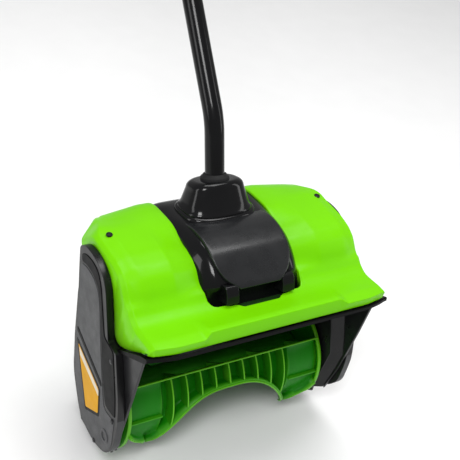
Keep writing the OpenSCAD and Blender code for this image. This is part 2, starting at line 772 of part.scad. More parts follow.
module bearing_screws() {
    color("Silver") head_frame() both_sides() for (a = [90, 210, 330]) {
        rod_x(plate_x0, plate_x1 - 0.2, 21 * cos(a), 21 * sin(a), 1.7);
        rod_x(plate_x0 - 1.6, plate_x0, 21 * cos(a), 21 * sin(a), 2.8);
    }
}

module handle_screws() {
    color("Silver") shaft_frame() for (p = [[17.2, 452, 17], [30, 500, grip_w / 2], [30, 588, grip_w / 2]]) {
        rod_x(-p[2] + 1, p[2] + 0.1, p[0], p[1], 1.5);
        rod_x(p[2] + 0.1, p[2] + 2, p[0], p[1], 3);
    }
}

hood();
front_trim();
drum_shroud();
left_side_plate();
right_side_plate();
left_belt_cover();
right_end_cover();
scraper_bar();
motor_cover();
shaft_boss();
boss_collar();
motor_case();
motor_armature();
motor_bracket();
drive_pulley();
driven_pulley();
drive_belt();
left_bearing();
right_bearing();
rotor_axle();
paddle_rotor();
control_board();
heat_sink();
power_cable();
lower_shaft();
upper_shaft();
shaft_coupler();
coupler_knob();
handle_clamp();
front_handle();
front_grip();
clamp_knob();
handle_left_shell();
handle_right_shell();
rear_grip_pad();
switch_block();
trigger();
trigger_pin();
trigger_spring();
lock_off_button();
battery_terminal();
battery_pack();
battery_latch();
hood_screws();
cover_screws();
bearing_screws();
handle_screws();
axle_nut();
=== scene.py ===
"""Looks of the cordless snow shovel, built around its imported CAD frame.

Shapes are drawn in millimetres in two local frames: the head frame (origin on the rotor axle, Z along the
lower shaft) and the shaft frame (origin at the bend, Z along the upper shaft, -Y on its top side). piece()
turns them into the row frame, in metres.
"""

import json
import math

import bmesh
import bpy
from mathutils import Matrix, Vector


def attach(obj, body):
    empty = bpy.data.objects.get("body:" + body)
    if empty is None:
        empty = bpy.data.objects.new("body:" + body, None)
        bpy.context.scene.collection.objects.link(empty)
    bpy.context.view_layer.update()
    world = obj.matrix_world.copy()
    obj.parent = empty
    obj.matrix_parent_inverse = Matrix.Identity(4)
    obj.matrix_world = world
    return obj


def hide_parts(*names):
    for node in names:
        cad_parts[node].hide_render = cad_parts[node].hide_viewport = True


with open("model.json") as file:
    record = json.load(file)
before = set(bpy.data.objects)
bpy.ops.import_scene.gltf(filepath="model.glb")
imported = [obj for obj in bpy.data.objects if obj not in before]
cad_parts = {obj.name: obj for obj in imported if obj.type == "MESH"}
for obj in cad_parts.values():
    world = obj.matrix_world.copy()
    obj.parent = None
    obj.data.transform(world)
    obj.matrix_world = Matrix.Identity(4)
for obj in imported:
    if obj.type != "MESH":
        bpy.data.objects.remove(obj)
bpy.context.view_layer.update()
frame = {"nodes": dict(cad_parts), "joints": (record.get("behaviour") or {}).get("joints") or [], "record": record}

# ---- local frames, from the record's joints ----

MM = 0.001
joints = {j["name"]: j for j in frame["joints"]}
AXLE = Vector(joints["rotor_spin"]["pos_m"])
LEAN = math.atan2(joints["battery_slide"]["axis"][1], joints["battery_slide"]["axis"][2])
HEAD_PITCH = LEAN / 2                    # the head tips by half of the upper shaft's lean
SHAFT_Y = -38                            # axis of the lower shaft in front of the axle
BEND_Z = 356                             # corner of the bent shaft above the axle
BEND_R = 110

HEAD = Matrix.Translation((0, AXLE.y, AXLE.z)) @ Matrix.Rotation(-HEAD_PITCH, 4, "X") @ Matrix.Scale(MM, 4)
SHAFT = HEAD @ Matrix.Translation((0, SHAFT_Y, BEND_Z)) @ Matrix.Rotation(-(LEAN - HEAD_PITCH), 4, "X")


def span(node, place):
    """Lowest and highest corner of a CAD node, in the millimetres of a local frame."""
    back = place.inverted()
    corners = [back @ v.co for v in frame["nodes"][node].data.vertices]
    return [Vector(f(c[k] for c in corners) for k in range(3)) for f in (min, max)]


HOOD_HW = span("hood", HEAD)[1].x
LIP_Z = 126                              # underside of the hood's lip above the axle
COVER_X2 = HOOD_HW + 10
CHANNEL_HW = span("motor_cover", HEAD)[1].x + 0.8
PLATE_X0 = span("right_side_plate", HEAD)[0].x + 2
PLATE_X1 = span("right_side_plate", HEAD)[1].x
BLADE_R = 78
DISC_R = 76
ROTOR_HW = span("paddle_rotor", HEAD)[1].x
BOSS_TOP = span("shaft_boss", HEAD)[1].z
TUBE_R = 12.7

# ---- small maths ----


def mix(a, b, t):
    """a at t = 0, b at t = 1."""
    return a + (b - a) * t


def ease(a, b, v):
    """0 before a, 1 after b, smooth between them."""
    t = min(max((v - a) / (b - a), 0), 1)
    return t * t * (3 - 2 * t)


def rounded(corners, radius, n=5, closed=False):
    """A polyline whose corners are rounded; a corner may bring its own radius as a third number."""
    out = []
    last = len(corners) - 1
    for i, c in enumerate(corners):
        r = c[2] if len(c) > 2 else radius
        if (not closed and i in (0, last)) or r == 0:
            out.append((c[0], c[1]))
            continue
        here = Vector(c[:2])
        before = Vector(corners[i - 1][:2]) - here
        after = Vector(corners[(i + 1) % len(corners)][:2]) - here
        a = here + before.normalized() * min(r, before.length * 0.48)
        b = here + after.normalized() * min(r, after.length * 0.48)
        for k in range(n + 1):
            t = k / n
            q = a * (1 - t) ** 2 + here * 2 * t * (1 - t) + b * t * t
            out.append((q.x, q.y))
    return out


class Line:
    """A polyline in (y, z) that is read by its length from the start."""

    def __init__(self, points):
        self.p = [Vector(q) for q in points]
        self.s = [0.0]
        for a, b in zip(self.p, self.p[1:]):
            self.s.append(self.s[-1] + (b - a).length)
        self.length = self.s[-1]

    def at(self, s):
        s = min(max(s, 0), self.length)
        i = next((k for k in range(1, len(self.s)) if self.s[k] >= s), len(self.s) - 1)
        a, b = self.s[i - 1], self.s[i]
        return self.p[i - 1].lerp(self.p[i], (s - a) / (b - a) if b > a else 0)

    def normal(self, s):
        d = self.at(s + 3) - self.at(s - 3)
        return Vector((-d.y, d.x)).normalized()

    def where(self, test):
        """Length at which a test on the point first holds."""
        steps = 800
        for i in range(steps + 1):
            s = self.length * i / steps
            if test(self.at(s)):
                return s
        return self.length


# ---- mesh parts: each is (vertices, faces), and parts can be added together ----


def join(*parts):
    verts, faces = [], []
    for v, f in parts:
        k = len(verts)
        verts += [tuple(q) for q in v]
        faces += [tuple(i + k for i in face) for face in f]
    return verts, faces


def grid(rows, wrap=False):
    n = len(rows[0])
    faces = []
    for i in range(len(rows) - 1):
        for j in range(n if wrap else n - 1):
            k = (j + 1) % n
            faces.append((i * n + j, i * n + k, (i + 1) * n + k, (i + 1) * n + j))
    return [q for row in rows for q in row], faces


def loft(rings, caps=True):
    verts, faces = grid(rings, wrap=True)
    n = len(rings[0])
    if caps:
        faces.append(tuple(range(n))[::-1])
        faces.append(tuple((len(rings) - 1) * n + k for k in range(n)))
    return verts, faces


def prism(outline, x0, x1):
    """An outline in (y, z) pushed from x0 to x1."""
    return loft([[(x, y, z) for y, z in outline] for x in (x0, x1)])


def mirrored(part):
    verts, faces = part
    return [(-x, y, z) for x, y, z in verts], [tuple(reversed(f)) for f in faces]


def both(part):
    return join(part, mirrored(part))


def moved(part, place):
    return [tuple(place @ Vector(v)) for v in part[0]], part[1]


def block(lo, hi):
    return prism([(lo[1], lo[2]), (hi[1], lo[2]), (hi[1], hi[2]), (lo[1], hi[2])], lo[0], hi[0])


def lathe(profile, n=64, axis="z", centre=(0, 0, 0), caps=True):
    """A profile of (radius, height) turned round the axis through the centre."""
    rings = []
    for r, h in profile:
        ring = []
        for k in range(n):
            a = 2 * math.pi * k / n
            u, v = r * math.cos(a), r * math.sin(a)
            q = (u, v, h) if axis == "z" else (h, u, v)
            ring.append(tuple(c + w for c, w in zip(centre, q)))
        rings.append(ring)
    return loft(rings, caps)


def tube_wall(outer, inner, z0, z1, edge):
    """A round sleeve with softened edges."""
    return lathe([(inner, z0 + edge), (inner + edge, z0), (outer - edge, z0), (outer, z0 + edge),
                  (outer, z1 - edge), (outer - edge, z1), (inner + edge, z1), (inner, z1 - edge),
                  (inner, z0 + edge)], caps=False)


def sweep(path, section):
    """A section of (u, v) carried along a path without twisting."""
    path = [Vector(q) for q in path]
    rings = []
    side = None
    for i, q in enumerate(path):
        t = (path[min(i + 1, len(path) - 1)] - path[max(i - 1, 0)]).normalized()
        if side is None:
            side = t.orthogonal().normalized() if abs(t.x) > 0.9 else Vector((1, 0, 0))
        side = (side - t * side.dot(t)).normalized()
        up = t.cross(side)
        sec = section(i / (len(path) - 1)) if callable(section) else section
        rings.append([q + side * u + up * v for u, v in sec])
    return loft(rings)


def circle(r, n=32):
    return [(r * math.cos(2 * math.pi * k / n), r * math.sin(2 * math.pi * k / n)) for k in range(n)]


def oval(a, b, n=40, power=2.6):
    """A rounded rectangle that is close to an ellipse."""
    out = []
    for k in range(n):
        t = 2 * math.pi * k / n
        c, s = (math.copysign(abs(v) ** (2 / power), v) for v in (math.cos(t), math.sin(t)))
        out.append((a * c, b * s))
    return out


def smooth_path(points, n=8):
    """Catmull-Rom through the points."""
    p = [Vector(q) for q in points]
    p = [p[0] * 2 - p[1]] + p + [p[-1] * 2 - p[-2]]
    out = []
    for i in range(1, len(p) - 2):
        for k in range(n):
            t = k / n
            out.append(0.5 * (2 * p[i] + (p[i + 1] - p[i - 1]) * t
                              + (2 * p[i - 1] - 5 * p[i] + 4 * p[i + 1] - p[i + 2]) * t * t
                              + (3 * p[i] - p[i - 1] - 3 * p[i + 1] + p[i + 2]) * t ** 3))
    return out + [p[-2]]


def mesh_of(name, part):
    """A mesh made of a part; part_of() is the way back."""
    mesh = bpy.data.meshes.new(name)
    mesh.from_pydata([Vector(v) for v in part[0]], [], part[1])
    return mesh


def part_of(mesh):
    return [tuple(v.co) for v in mesh.vertices], [tuple(p.vertices) for p in mesh.polygons]


def turn_outward(mesh, merge=False):
    """Makes a mesh's faces look outward, and merges points that coincide, in metres, if asked to."""
    bm = bmesh.new()
    bm.from_mesh(mesh)
    if merge:
        bmesh.ops.remove_doubles(bm, verts=bm.verts, dist=0.00002)
        bmesh.ops.dissolve_degenerate(bm, edges=bm.edges, dist=0.00001)
    bmesh.ops.recalc_face_normals(bm, faces=bm.faces)
    bm.to_mesh(mesh)
    bm.free()


def linked(name, data):
    """A new object in the scene."""
    obj = bpy.data.objects.new(name, data)
    bpy.context.scene.collection.objects.link(obj)
    return obj


# ---- materials ----


def shade(name, colour, rough=(0.35, 0.5), tone=0.12, blotch=14, grain=1100, bump=0.12, depth=0.0002,
          coat=0.0, coat_rough=0.1, metal=0.0, edge_wear_and_highlight=None, edge_wear_and_highlight_amount=0.5, soften=0.0, specular=0.5,
          streak=None):
    """A moulded, painted or metal surface: blotches of tone, a fine grain, uneven gloss and lighter convex edges,
    which are wear, and on the rotor a painted edge highlight.
    """
    m = bpy.data.materials.new(name)
    m.use_nodes = True
    nodes, links = m.node_tree.nodes, m.node_tree.links
    nodes.clear()
    out = nodes.new("ShaderNodeOutputMaterial")
    skin = nodes.new("ShaderNodeBsdfPrincipled")
    links.new(skin.outputs["BSDF"], out.inputs["Surface"])
    place = nodes.new("ShaderNodeTexCoord").outputs["Object"]
    if streak:
        stretch = nodes.new("ShaderNodeMapping")
        stretch.inputs["Scale"].default_value = streak
        links.new(place, stretch.inputs["Vector"])
        place_fine = stretch.outputs["Vector"]
    else:
        place_fine = place

    def noise(scale, detail, where=place):
        node = nodes.new("ShaderNodeTexNoise")
        node.inputs["Scale"].default_value = scale
        node.inputs["Detail"].default_value = detail
        links.new(where, node.inputs["Vector"])
        return node.outputs["Fac"]

    def ranged(value, lows, highs):
        """Maps a value from between two numbers to between two others; lows and highs are (from, to)."""
        node = nodes.new("ShaderNodeMapRange")
        for side, (source, target) in (("Min", lows), ("Max", highs)):
            node.inputs[f"From {side}"].default_value = source
            node.inputs[f"To {side}"].default_value = target
        links.new(value, node.inputs["Value"])
        return node.outputs["Result"]

    ramp = nodes.new("ShaderNodeValToRGB")
    for stop, position, factor in zip(ramp.color_ramp.elements, (0.3, 0.7), (1 - tone, 1 + tone)):
        stop.position = position
        stop.color = (*[min(c * factor, 1) for c in colour], 1)
    links.new(noise(blotch, 5), ramp.inputs["Fac"])
    tint = ramp.outputs["Color"]
    # lighter colour on convex edges: wear, and on the rotor's green a painted highlight
    if edge_wear_and_highlight:
        pointed = nodes.new("ShaderNodeNewGeometry").outputs["Pointiness"]
        blend = nodes.new("ShaderNodeMix")
        blend.data_type = "RGBA"
        blend.inputs[7].default_value = (*edge_wear_and_highlight, 1)
        links.new(ranged(pointed, (0.53, 0), (0.62, edge_wear_and_highlight_amount)), blend.inputs[0])
        links.new(tint, blend.inputs[6])
        tint = blend.outputs[2]
    links.new(tint, skin.inputs["Base Color"])
    gloss = ranged(noise(70, 6, place_fine), (0.3, rough[0]), (0.7, rough[1]))
    links.new(gloss, skin.inputs["Roughness"])
    relief = nodes.new("ShaderNodeBump")
    relief.inputs["Strength"].default_value = bump
    relief.inputs["Distance"].default_value = depth
    links.new(noise(grain, 3, place_fine), relief.inputs["Height"])
    if soften:
        edge = nodes.new("ShaderNodeBevel")
        edge.samples = 4
        edge.inputs["Radius"].default_value = soften
        links.new(edge.outputs["Normal"], relief.inputs["Normal"])
    links.new(relief.outputs["Normal"], skin.inputs["Normal"])
    for key, value in (("Metallic", metal), ("Coat Weight", coat), ("Coat Roughness", coat_rough),
                       ("Specular IOR Level", specular)):
        skin.inputs[key].default_value = value
    return m


# the look of each material slot of the record
SLOT_LOOKS = {
    "lime_plastic": dict(colour=(0.155, 0.56, 0.0), rough=(0.30, 0.40), tone=0.035, grain=1500, bump=0.06,
                         edge_wear_and_highlight=(0.30, 0.80, 0.02), edge_wear_and_highlight_amount=0.35, specular=0.12),
    # the rotor's strongly lighter convex edges are a painted highlight
    "rotor_plastic": dict(colour=(0.006, 0.17, 0.001), rough=(0.32, 0.45), tone=0.12, grain=1200, bump=0.08,
                          edge_wear_and_highlight=(0.08, 0.40, 0.01), edge_wear_and_highlight_amount=0.9, specular=0.15),
    "black_gloss": dict(colour=(0.004, 0.004, 0.0045), rough=(0.12, 0.22), tone=0.25, grain=900, bump=0.03,
                        coat=0.25, coat_rough=0.06, edge_wear_and_highlight=(0.05, 0.05, 0.055), edge_wear_and_highlight_amount=0.5,
                        specular=0.1),
    "painted_tube": dict(colour=(0.0035, 0.0035, 0.004), rough=(0.16, 0.26), tone=0.2, grain=700, bump=0.05,
                         coat=0.2, coat_rough=0.08, edge_wear_and_highlight=(0.06, 0.06, 0.06), edge_wear_and_highlight_amount=0.3, specular=0.1),
    "black_plastic": dict(colour=(0.006, 0.006, 0.0065), rough=(0.36, 0.55), tone=0.22, grain=1300,
                          bump=0.25, depth=0.0003, edge_wear_and_highlight=(0.06, 0.06, 0.06), edge_wear_and_highlight_amount=0.45, soften=0.0007,
                          specular=0.3),
    "grey_plastic": dict(colour=(0.036, 0.037, 0.039), rough=(0.38, 0.55), tone=0.14, blotch=22, grain=1000,
                         bump=0.35, depth=0.0004, edge_wear_and_highlight=(0.16, 0.16, 0.17), edge_wear_and_highlight_amount=0.4, specular=0.35),
    "battery_plastic": dict(colour=(0.014, 0.014, 0.016), rough=(0.42, 0.6), tone=0.2, grain=900, bump=0.35,
                            depth=0.0004, edge_wear_and_highlight=(0.12, 0.12, 0.12), edge_wear_and_highlight_amount=0.4),
    "rubber": dict(colour=(0.009, 0.009, 0.0095), rough=(0.62, 0.85), tone=0.25, grain=700, bump=0.5,
                   depth=0.0005, specular=0.3),
    "belt_rubber": dict(colour=(0.014, 0.014, 0.014), rough=(0.6, 0.8), tone=0.2, grain=500, bump=0.5,
                        depth=0.0005, soften=0.0004),
    "steel": dict(colour=(0.60, 0.60, 0.61), rough=(0.2, 0.4), tone=0.1, grain=1500, bump=0.1, metal=1.0,
                  soften=0.0004),
    "cast_metal": dict(colour=(0.52, 0.52, 0.54), rough=(0.38, 0.6), tone=0.12, grain=600, bump=0.3,
                       depth=0.0004, metal=1.0, soften=0.0006),
    "copper": dict(colour=(0.62, 0.27, 0.10), rough=(0.25, 0.45), tone=0.15, grain=500, bump=0.5,
                   depth=0.0006, metal=1.0, streak=(0.2, 3, 3)),
    "circuit_board": dict(colour=(0.01, 0.11, 0.035), rough=(0.25, 0.45), tone=0.3, blotch=160, grain=900,
                          bump=0.2, soften=0.0003),
    "cable_sheath": dict(colour=(0.015, 0.015, 0.015), rough=(0.4, 0.6), tone=0.2, grain=500, bump=0.2),
}
LOOKS = {slot: shade(slot, **look) for slot, look in SLOT_LOOKS.items()}

# looks that stand in for a slot's own on some pieces or faces
# painted highlight: a lighter green for the bright edges of the rotor's blades, ribs and discs
PAINTED_HIGHLIGHT_GREEN = shade("rotor_painted_highlight", (0.10, 0.42, 0.004), rough=(0.3, 0.45), tone=0.08, grain=1200, bump=0.06,
            specular=0.3)
# painted shade: dark green for the lime hood's inside and the channel floor, which lie in shadow
PAINTED_SHADE_GREEN = shade("hood_painted_shade", (0.01, 0.06, 0.004), rough=(0.5, 0.7), tone=0.1, bump=0.1)
DECAL = shade("blank_decal", (0.62, 0.31, 0.004), tone=0.06, blotch=40, grain=700, bump=0.08, specular=0.1)
DECAL_PALE = shade("blank_decal_band", (0.62, 0.56, 0.44), tone=0.08, blotch=50, grain=700, bump=0.08)
INK = shade("flat_black", (0.003, 0.003, 0.0032), rough=(0.3, 0.42), tone=0.2, grain=900, bump=0.1,
            specular=0.05)
DECAL_EDGE = shade("decal_border", (0.004, 0.004, 0.004), tone=0.1, grain=700, bump=0.08, specular=0.1)
CHARCOAL = shade("panel_charcoal", (0.009, 0.0095, 0.0105), rough=(0.24, 0.34), tone=0.12, grain=1300,
                 bump=0.10, coat=0.2, coat_rough=0.15, edge_wear_and_highlight=(0.10, 0.10, 0.11), edge_wear_and_highlight_amount=0.5,
                 specular=0.25)
PLATE_BLACK = shade("plate_black", (0.004, 0.004, 0.0045), rough=(0.26, 0.38), tone=0.2, grain=1200,
                    bump=0.14, edge_wear_and_highlight=(0.06, 0.06, 0.065), edge_wear_and_highlight_amount=0.5, specular=0.3)
SCREW_BLACK = shade("screw_black", (0.03, 0.03, 0.032), rough=(0.3, 0.45), tone=0.2, grain=900, bump=0.1,
                    metal=0.8)
LAMP_GREEN = shade("charge_lamp", (0.05, 0.55, 0.08), rough=(0.2, 0.3), tone=0.1, grain=700, bump=0.05,
                   coat=0.4)

SLOT_OF = {row["node"]: row["material_slot"] for row in frame["record"]["subparts"]}
for node, obj in frame["nodes"].items():
    obj.data.materials.clear()
    obj.data.materials.append(LOOKS[SLOT_OF[node]])

# ---- making a piece ----


def piece(name, part, slot, place=HEAD, body="head", replaces=(), extra=(), pick=None, thick=0, bevel=0,
          turns=2, angle=35, look=None, even=True, inside=None):
    """Turns a part into an object that rides on a body: walls and bevels are modifiers, in millimetres.

    look stands in for the slot's material, inside is the look of a wall's inner face, and extra holds more
    looks that pick(centre, normal) chooses from, face by face.
    """
    mesh = mesh_of(name, moved(part, place))
    turn_outward(mesh, merge=True)
    obj = linked(name, mesh)
    mesh.materials.append(look or LOOKS[slot])
    for m in extra:
        mesh.materials.append(m)
    if pick:
        back = place.inverted()
        turn = back.to_3x3()
        for face in mesh.polygons:
            face.material_index = pick(back @ face.center, (turn @ face.normal).normalized())
    mesh.shade_smooth()
    if thick:
        wall = obj.modifiers.new("wall", "SOLIDIFY")
        wall.thickness = thick * MM
        wall.offset = -1
        wall.use_even_offset = even
        if inside:
            mesh.materials.append(inside)
            wall.material_offset = len(mesh.materials) - 1
    if bevel:
        soft = obj.modifiers.new("soft_edges", "BEVEL")
        soft.width = bevel * MM
        soft.segments = turns
        soft.limit_method = "ANGLE"
        soft.angle_limit = math.radians(angle)
        soft.harden_normals = False
        obj.modifiers.new("even_normals", "WEIGHTED_NORMAL").keep_sharp = True
    else:
        mesh.set_sharp_from_angle(angle=math.radians(angle))
    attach(obj, body)
    if replaces:
        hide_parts(*replaces)
    return obj


# ---- hood: two pods, the channel between them, and the lip along the front ----

SKIN = rounded([(-134, LIP_Z + 33.5, 5), (-127, LIP_Z + 46, 5), (-124, LIP_Z + 58, 4),
                (-118.5, LIP_Z + 71, 4), (-108, LIP_Z + 83, 4), (-92, LIP_Z + 93, 4),
                (-74, LIP_Z + 100.5, 5), (-40, LIP_Z + 113, 10), (-8, LIP_Z + 121.5, 10),
                (9, LIP_Z + 121.5, 9), (23, LIP_Z + 115, 9), (33, LIP_Z + 99, 12), (44, LIP_Z + 64, 20),
                (58, LIP_Z + 10, 20), (66, LIP_Z - 26)], 10)
# border between the hood's end wall and the side cover
END_BORDER = rounded([(-163, LIP_Z + 1), (-128, 116), (-100, 111.5, 6), (-87.5, 118, 8), (-87.5, 184, 10),
                      (-78, 200, 14), (-62, 213, 14), (-38, 221, 8), (-25, 216, 6), (-19, 195, 8),
                      (-6, 139), (3, 112)], 10)


def lip_row(x):
    """Bottom edge and upper crease of the lip: its middle is taller than its ends."""
    t = ease(93, 106, abs(x))
    end = ease(135, HOOD_HW, abs(x))
    bottom = (-184.5 + 4 * end, LIP_Z - 0.2 + 1.6 * end)
    crease = (mix(-187.5, -190.5, t) + 6 * end, mix(LIP_Z + 18.5, LIP_Z + 11.5, t) + 0.5 * end)
    back = (mix(-181, -176, t) + 3 * end, mix(LIP_Z + 20.2, LIP_Z + 17.5, t) - end)
    return bottom, crease, back


def hood_profile(x):
    """Front of the hood in (y, z), from under the lip to the foot of the pods."""
    bottom, crease, back = lip_row(x)
    return rounded([(bottom[0] + 4, bottom[1] + 1.2), (*bottom, 1.2), (*crease, 1.6), (*back, 3),
                    (-156, LIP_Z + 20.5, 10), (-143, LIP_Z + 24.5, 10), SKIN[0]], 8)


def channel_front(x):
    """How far forward the channel reaches, as y in the head frame."""
    a = abs(x)
    corner = 14
    start = CHANNEL_HW - corner
    y = mix(-151.5, -146.0, ease(24, 34, a)) + 3.0 * ease(34, start, a)
    if a > start:
        k = (a - start) / corner
        y = mix(y, -129, 1 - math.sqrt(max(1 - k * k, 0)))
    return y


# x of the columns of the hood's mesh, which are closest at the channel and at the folds of the pods
CHANNEL_COLUMNS = [0, 12, 22, 25, 28, 31, 34, 42, 50, 56, 59, 62, 64.5, 67, 69, 70.5]
POD_COLUMNS = [CHANNEL_HW, 76, 82, 88, *range(92, 111, 2), 118, 128, 136, 138, 140, 146, 152]
LIP_ROWS = 19                            # points of the front's outline up to the flat behind the lip
CREASE_ROWS = range(7, 13)               # the points of them that lie on the lip's crease
FRONT_ROWS = 16
POD_ROWS = 84
POD_START = -129                         # y where the pods' rows begin
BORDER_AT_FLAT = 14                      # length of the end's border where the lip goes over into the flat
BORDER_AT_POD = 74                       # length of it where the pod begins
END_R = 5                                # chamfer at the ends of the lip and of the pods' fronts
INNER_FOLD = 107                         # x of the two folds down a pod's front
OUTER_FOLD = 151


def inner_tuck(x, z):
    """The pod leans back beside the channel, inside of a straight fold."""
    lean = max(0, 1 - (x - CHANNEL_HW) / (INNER_FOLD - CHANNEL_HW))
    return 8 * lean * ease(LIP_Z + 36, LIP_Z + 58, z) * (1 - ease(LIP_Z + 96, LIP_Z + 110, z))


def outer_tuck(x, y, z):
    """The front of the pod leans back towards its outer end, outside of a second fold."""
    lean = max(0, (x - OUTER_FOLD) / (HOOD_HW - OUTER_FOLD))
    return 6.5 * lean * ease(LIP_Z + 34, LIP_Z + 56, z) * (1 - ease(-60, -20, y))


# which way the hood's end is chamfered on top of the lip, as (y, z)
LIP_TOP_NORMAL = Vector((-0.3, 0.95))


def end_curve(base, normal, x_end, radius):
    """Chamfer with soft edges from the skin to the end wall."""
    w, d = radius * 0.95, radius * 1.1
    soft = radius * 0.3
    shape = rounded([(-w * 1.35, 0), (-w, 0, soft), (0, d, soft), (0, d * 1.25)], 1, n=3)
    return [(x_end + u, base.x - normal.x * v, base.y - normal.y * v) for u, v in shape]


def lip_normal(i):
    """Which way the hood's end is chamfered at a point of the lip: forward, at the crease, and on top."""
    if i in CREASE_ROWS:
        return Vector((-0.75, 0.66))
    return Vector((-1, 0)) if i < CREASE_ROWS[0] else LIP_TOP_NORMAL


def with_end(row, base, normal, border_point):
    """Closes a row of the lip or of the flat with the chamfer and the end wall."""
    near = Vector(row[-1][1:]).lerp(base, 0.6)
    row = row[:-1] + [(HOOD_HW - 10, *near)] + end_curve(base, normal, HOOD_HW, END_R)
    return row + [(HOOD_HW + 0.1, row[-1][1] + 0.3, row[-1][2]), (HOOD_HW, *border_point)]


def front_rows(border):
    """Rows of the lip, and of the flat between the lip, the channel and the pods."""
    cols = CHANNEL_COLUMNS + POD_COLUMNS
    outlines = {x: Line(hood_profile(x) + SKIN[1:]) for x in cols + [HOOD_HW]}
    end = outlines[HOOD_HW]
    rows = []
    for i in range(LIP_ROWS):
        row = [(x, *outlines[x].p[i]) for x in cols]
        rows.append(with_end(row, end.p[i], lip_normal(i), border.at(BORDER_AT_FLAT * i / LIP_ROWS)))
    stops = {}
    for x, line in outlines.items():
        y, rise = (channel_front(x), 15) if x < CHANNEL_HW else (POD_START, 30)
        stops[x] = line.where(lambda q: q.x > y and q.y > LIP_Z + rise)
    for i in range(1, FRONT_ROWS + 1):
        t = i / FRONT_ROWS
        at = {x: mix(line.s[LIP_ROWS - 1], stops[x], t) for x, line in outlines.items()}
        row = [(x, *outlines[x].at(at[x])) for x in cols]
        normal = LIP_TOP_NORMAL.lerp(end.normal(at[HOOD_HW]), min(1, i / 3)).normalized()
        border_point = border.at(mix(BORDER_AT_FLAT, BORDER_AT_POD, t))
        rows.append(with_end(row, end.at(at[HOOD_HW]), normal, border_point))
    return rows


def pod_rows(first, border):
    """Rows of the right pod, from its foot over the top and down the back."""
    skin = Line(SKIN)
    start = skin.where(lambda q: q.x > POD_START)
    rows = [first]
    for i in range(1, POD_ROWS + 1):
        t = i / POD_ROWS
        s = mix(start, skin.length, t)
        base, normal = skin.at(s), skin.normal(s)
        x_end = HOOD_HW - min(max(0.0, base.x + 2) * 0.45, 26)
        r = mix(END_R, 19, ease(-50, -4, base.x))
        crown = 8 * ease(-45, 8, base.x)
        row = []
        for x in POD_COLUMNS:
            wide = (x_end - 1.4 * r - CHANNEL_HW) / (POD_COLUMNS[-1] - CHANNEL_HW)
            x = mix(x, CHANNEL_HW + (x - CHANNEL_HW) * wide, min(1, t * 8))
            q = base - normal * (inner_tuck(x, base.y) + outer_tuck(x, *base))
            row.append((x, q.x, q.y - crown * min(max((x - 88) / 62, 0), 1)))
        base -= normal * outer_tuck(x_end - 1.4 * r, *base) + Vector((0, crown))
        row += end_curve(base, normal, x_end, r)
        fall = 24 * ease(-22, 4, skin.at(s).x) + 0.3
        row.append((x_end + 0.2, row[-1][1], row[-1][2] - fall))
        row.append((HOOD_HW, *border.at(mix(BORDER_AT_POD, border.length, t ** 0.94))))
        rows.append(row)
    return rows


def build_hood():
    border = Line(END_BORDER)
    rows = front_rows(border)
    n_inner = len(CHANNEL_COLUMNS)
    pods = pod_rows(rows[-1][n_inner:], border)
    # rolled border and inner wall of the channel
    edge = rows[-1][:n_inner + 1]
    inner_col = [row[0] for row in pods]
    steps = [(0.0, 0.0), (0.9, 0.35), (1.6, 1.1), (1.9, 2.2), (1.9, 26)]
    strip = []
    for x, y, z in edge:
        k = ease(CHANNEL_HW - 14, CHANNEL_HW, x)
        strip.append([(x - d * k, y + d * (1 - k), z - h) for d, h in steps])
    for i, q in enumerate(inner_col[1:], 1):
        a, b = Vector(inner_col[max(i - 1, 0)]), Vector(inner_col[min(i + 1, len(inner_col) - 1)])
        t = (b - a).normalized()
        nrm = Vector((0, -t.z, t.y))
        if nrm.z < 0 and q[1] < 0:
            nrm = -nrm
        k = ease(0, 8, i)
        down = Vector((0, 0, 1)) * (1 - k) + nrm * k
        down.normalize()
        strip.append([(q[0] - d, q[1] - down.y * h, q[2] - down.z * h) for d, h in steps])
    wall = grid(strip)
    hood = both(join(grid(rows), grid(pods), wall))
    # the inner face of the hood's wall is painted dark green for shade
    piece("hood_shell", hood, "lime_plastic", replaces=["hood"], thick=1.6, angle=40, even=False,
          inside=PAINTED_SHADE_GREEN)
    # floor of the channel in front of the motor cover, dark green for the painted shade in the recess
    floor = both(block((0, -152, LIP_Z + 14), (CHANNEL_HW - 4, -120, LIP_Z + 17)))
    piece("hood_channel_floor", floor, "lime_plastic", look=PAINTED_SHADE_GREEN)


# ---- motor cover in the channel, with its raised panel and two feet ----

# middle and side of the motor cover, and the raised panel over it, as outlines in (y, z)
COVER_MIDDLE = rounded([(-130, 142), (-130, 160), (-138, 173, 5), (-134.5, 186, 8), (-127, 198.5, 9),
                        (-115.5, 212.5, 10), (-96, 225, 9), (-72, 232.8, 10), (-40, 239.5, 12),
                        (-10, 246, 8), (8, 246, 8), (20, 239.5, 8), (30, 222, 10), (39, 190, 10),
                        (45, 168)], 8)
COVER_SIDE = rounded([(-126, 142), (-126.5, 158, 5), (-120.5, 174, 8), (-114, 189, 9), (-103, 204.5, 9),
                      (-87, 215.8, 9), (-73, 222.5, 10), (-37, 236.5, 12), (-10, 243.5, 8), (8, 243.5, 8),
                      (18, 238, 8), (28, 221, 10), (37, 190, 10), (43, 168)], 8)
PANEL_SKIN = rounded([(-148, 170), (-146.5, 176, 5), (-138, 188, 8), (-130.5, 200.5, 9),
                      (-118.5, 215.5, 10), (-98.5, 228.5, 9), (-78, 234, 8), (-56, 235)], 8)
COVER_HW = CHANNEL_HW - 0.5


def cover_height(y):
    line = Line(COVER_MIDDLE)
    return line.at(line.where(lambda q: q.x >= y and q.y > 190)).y


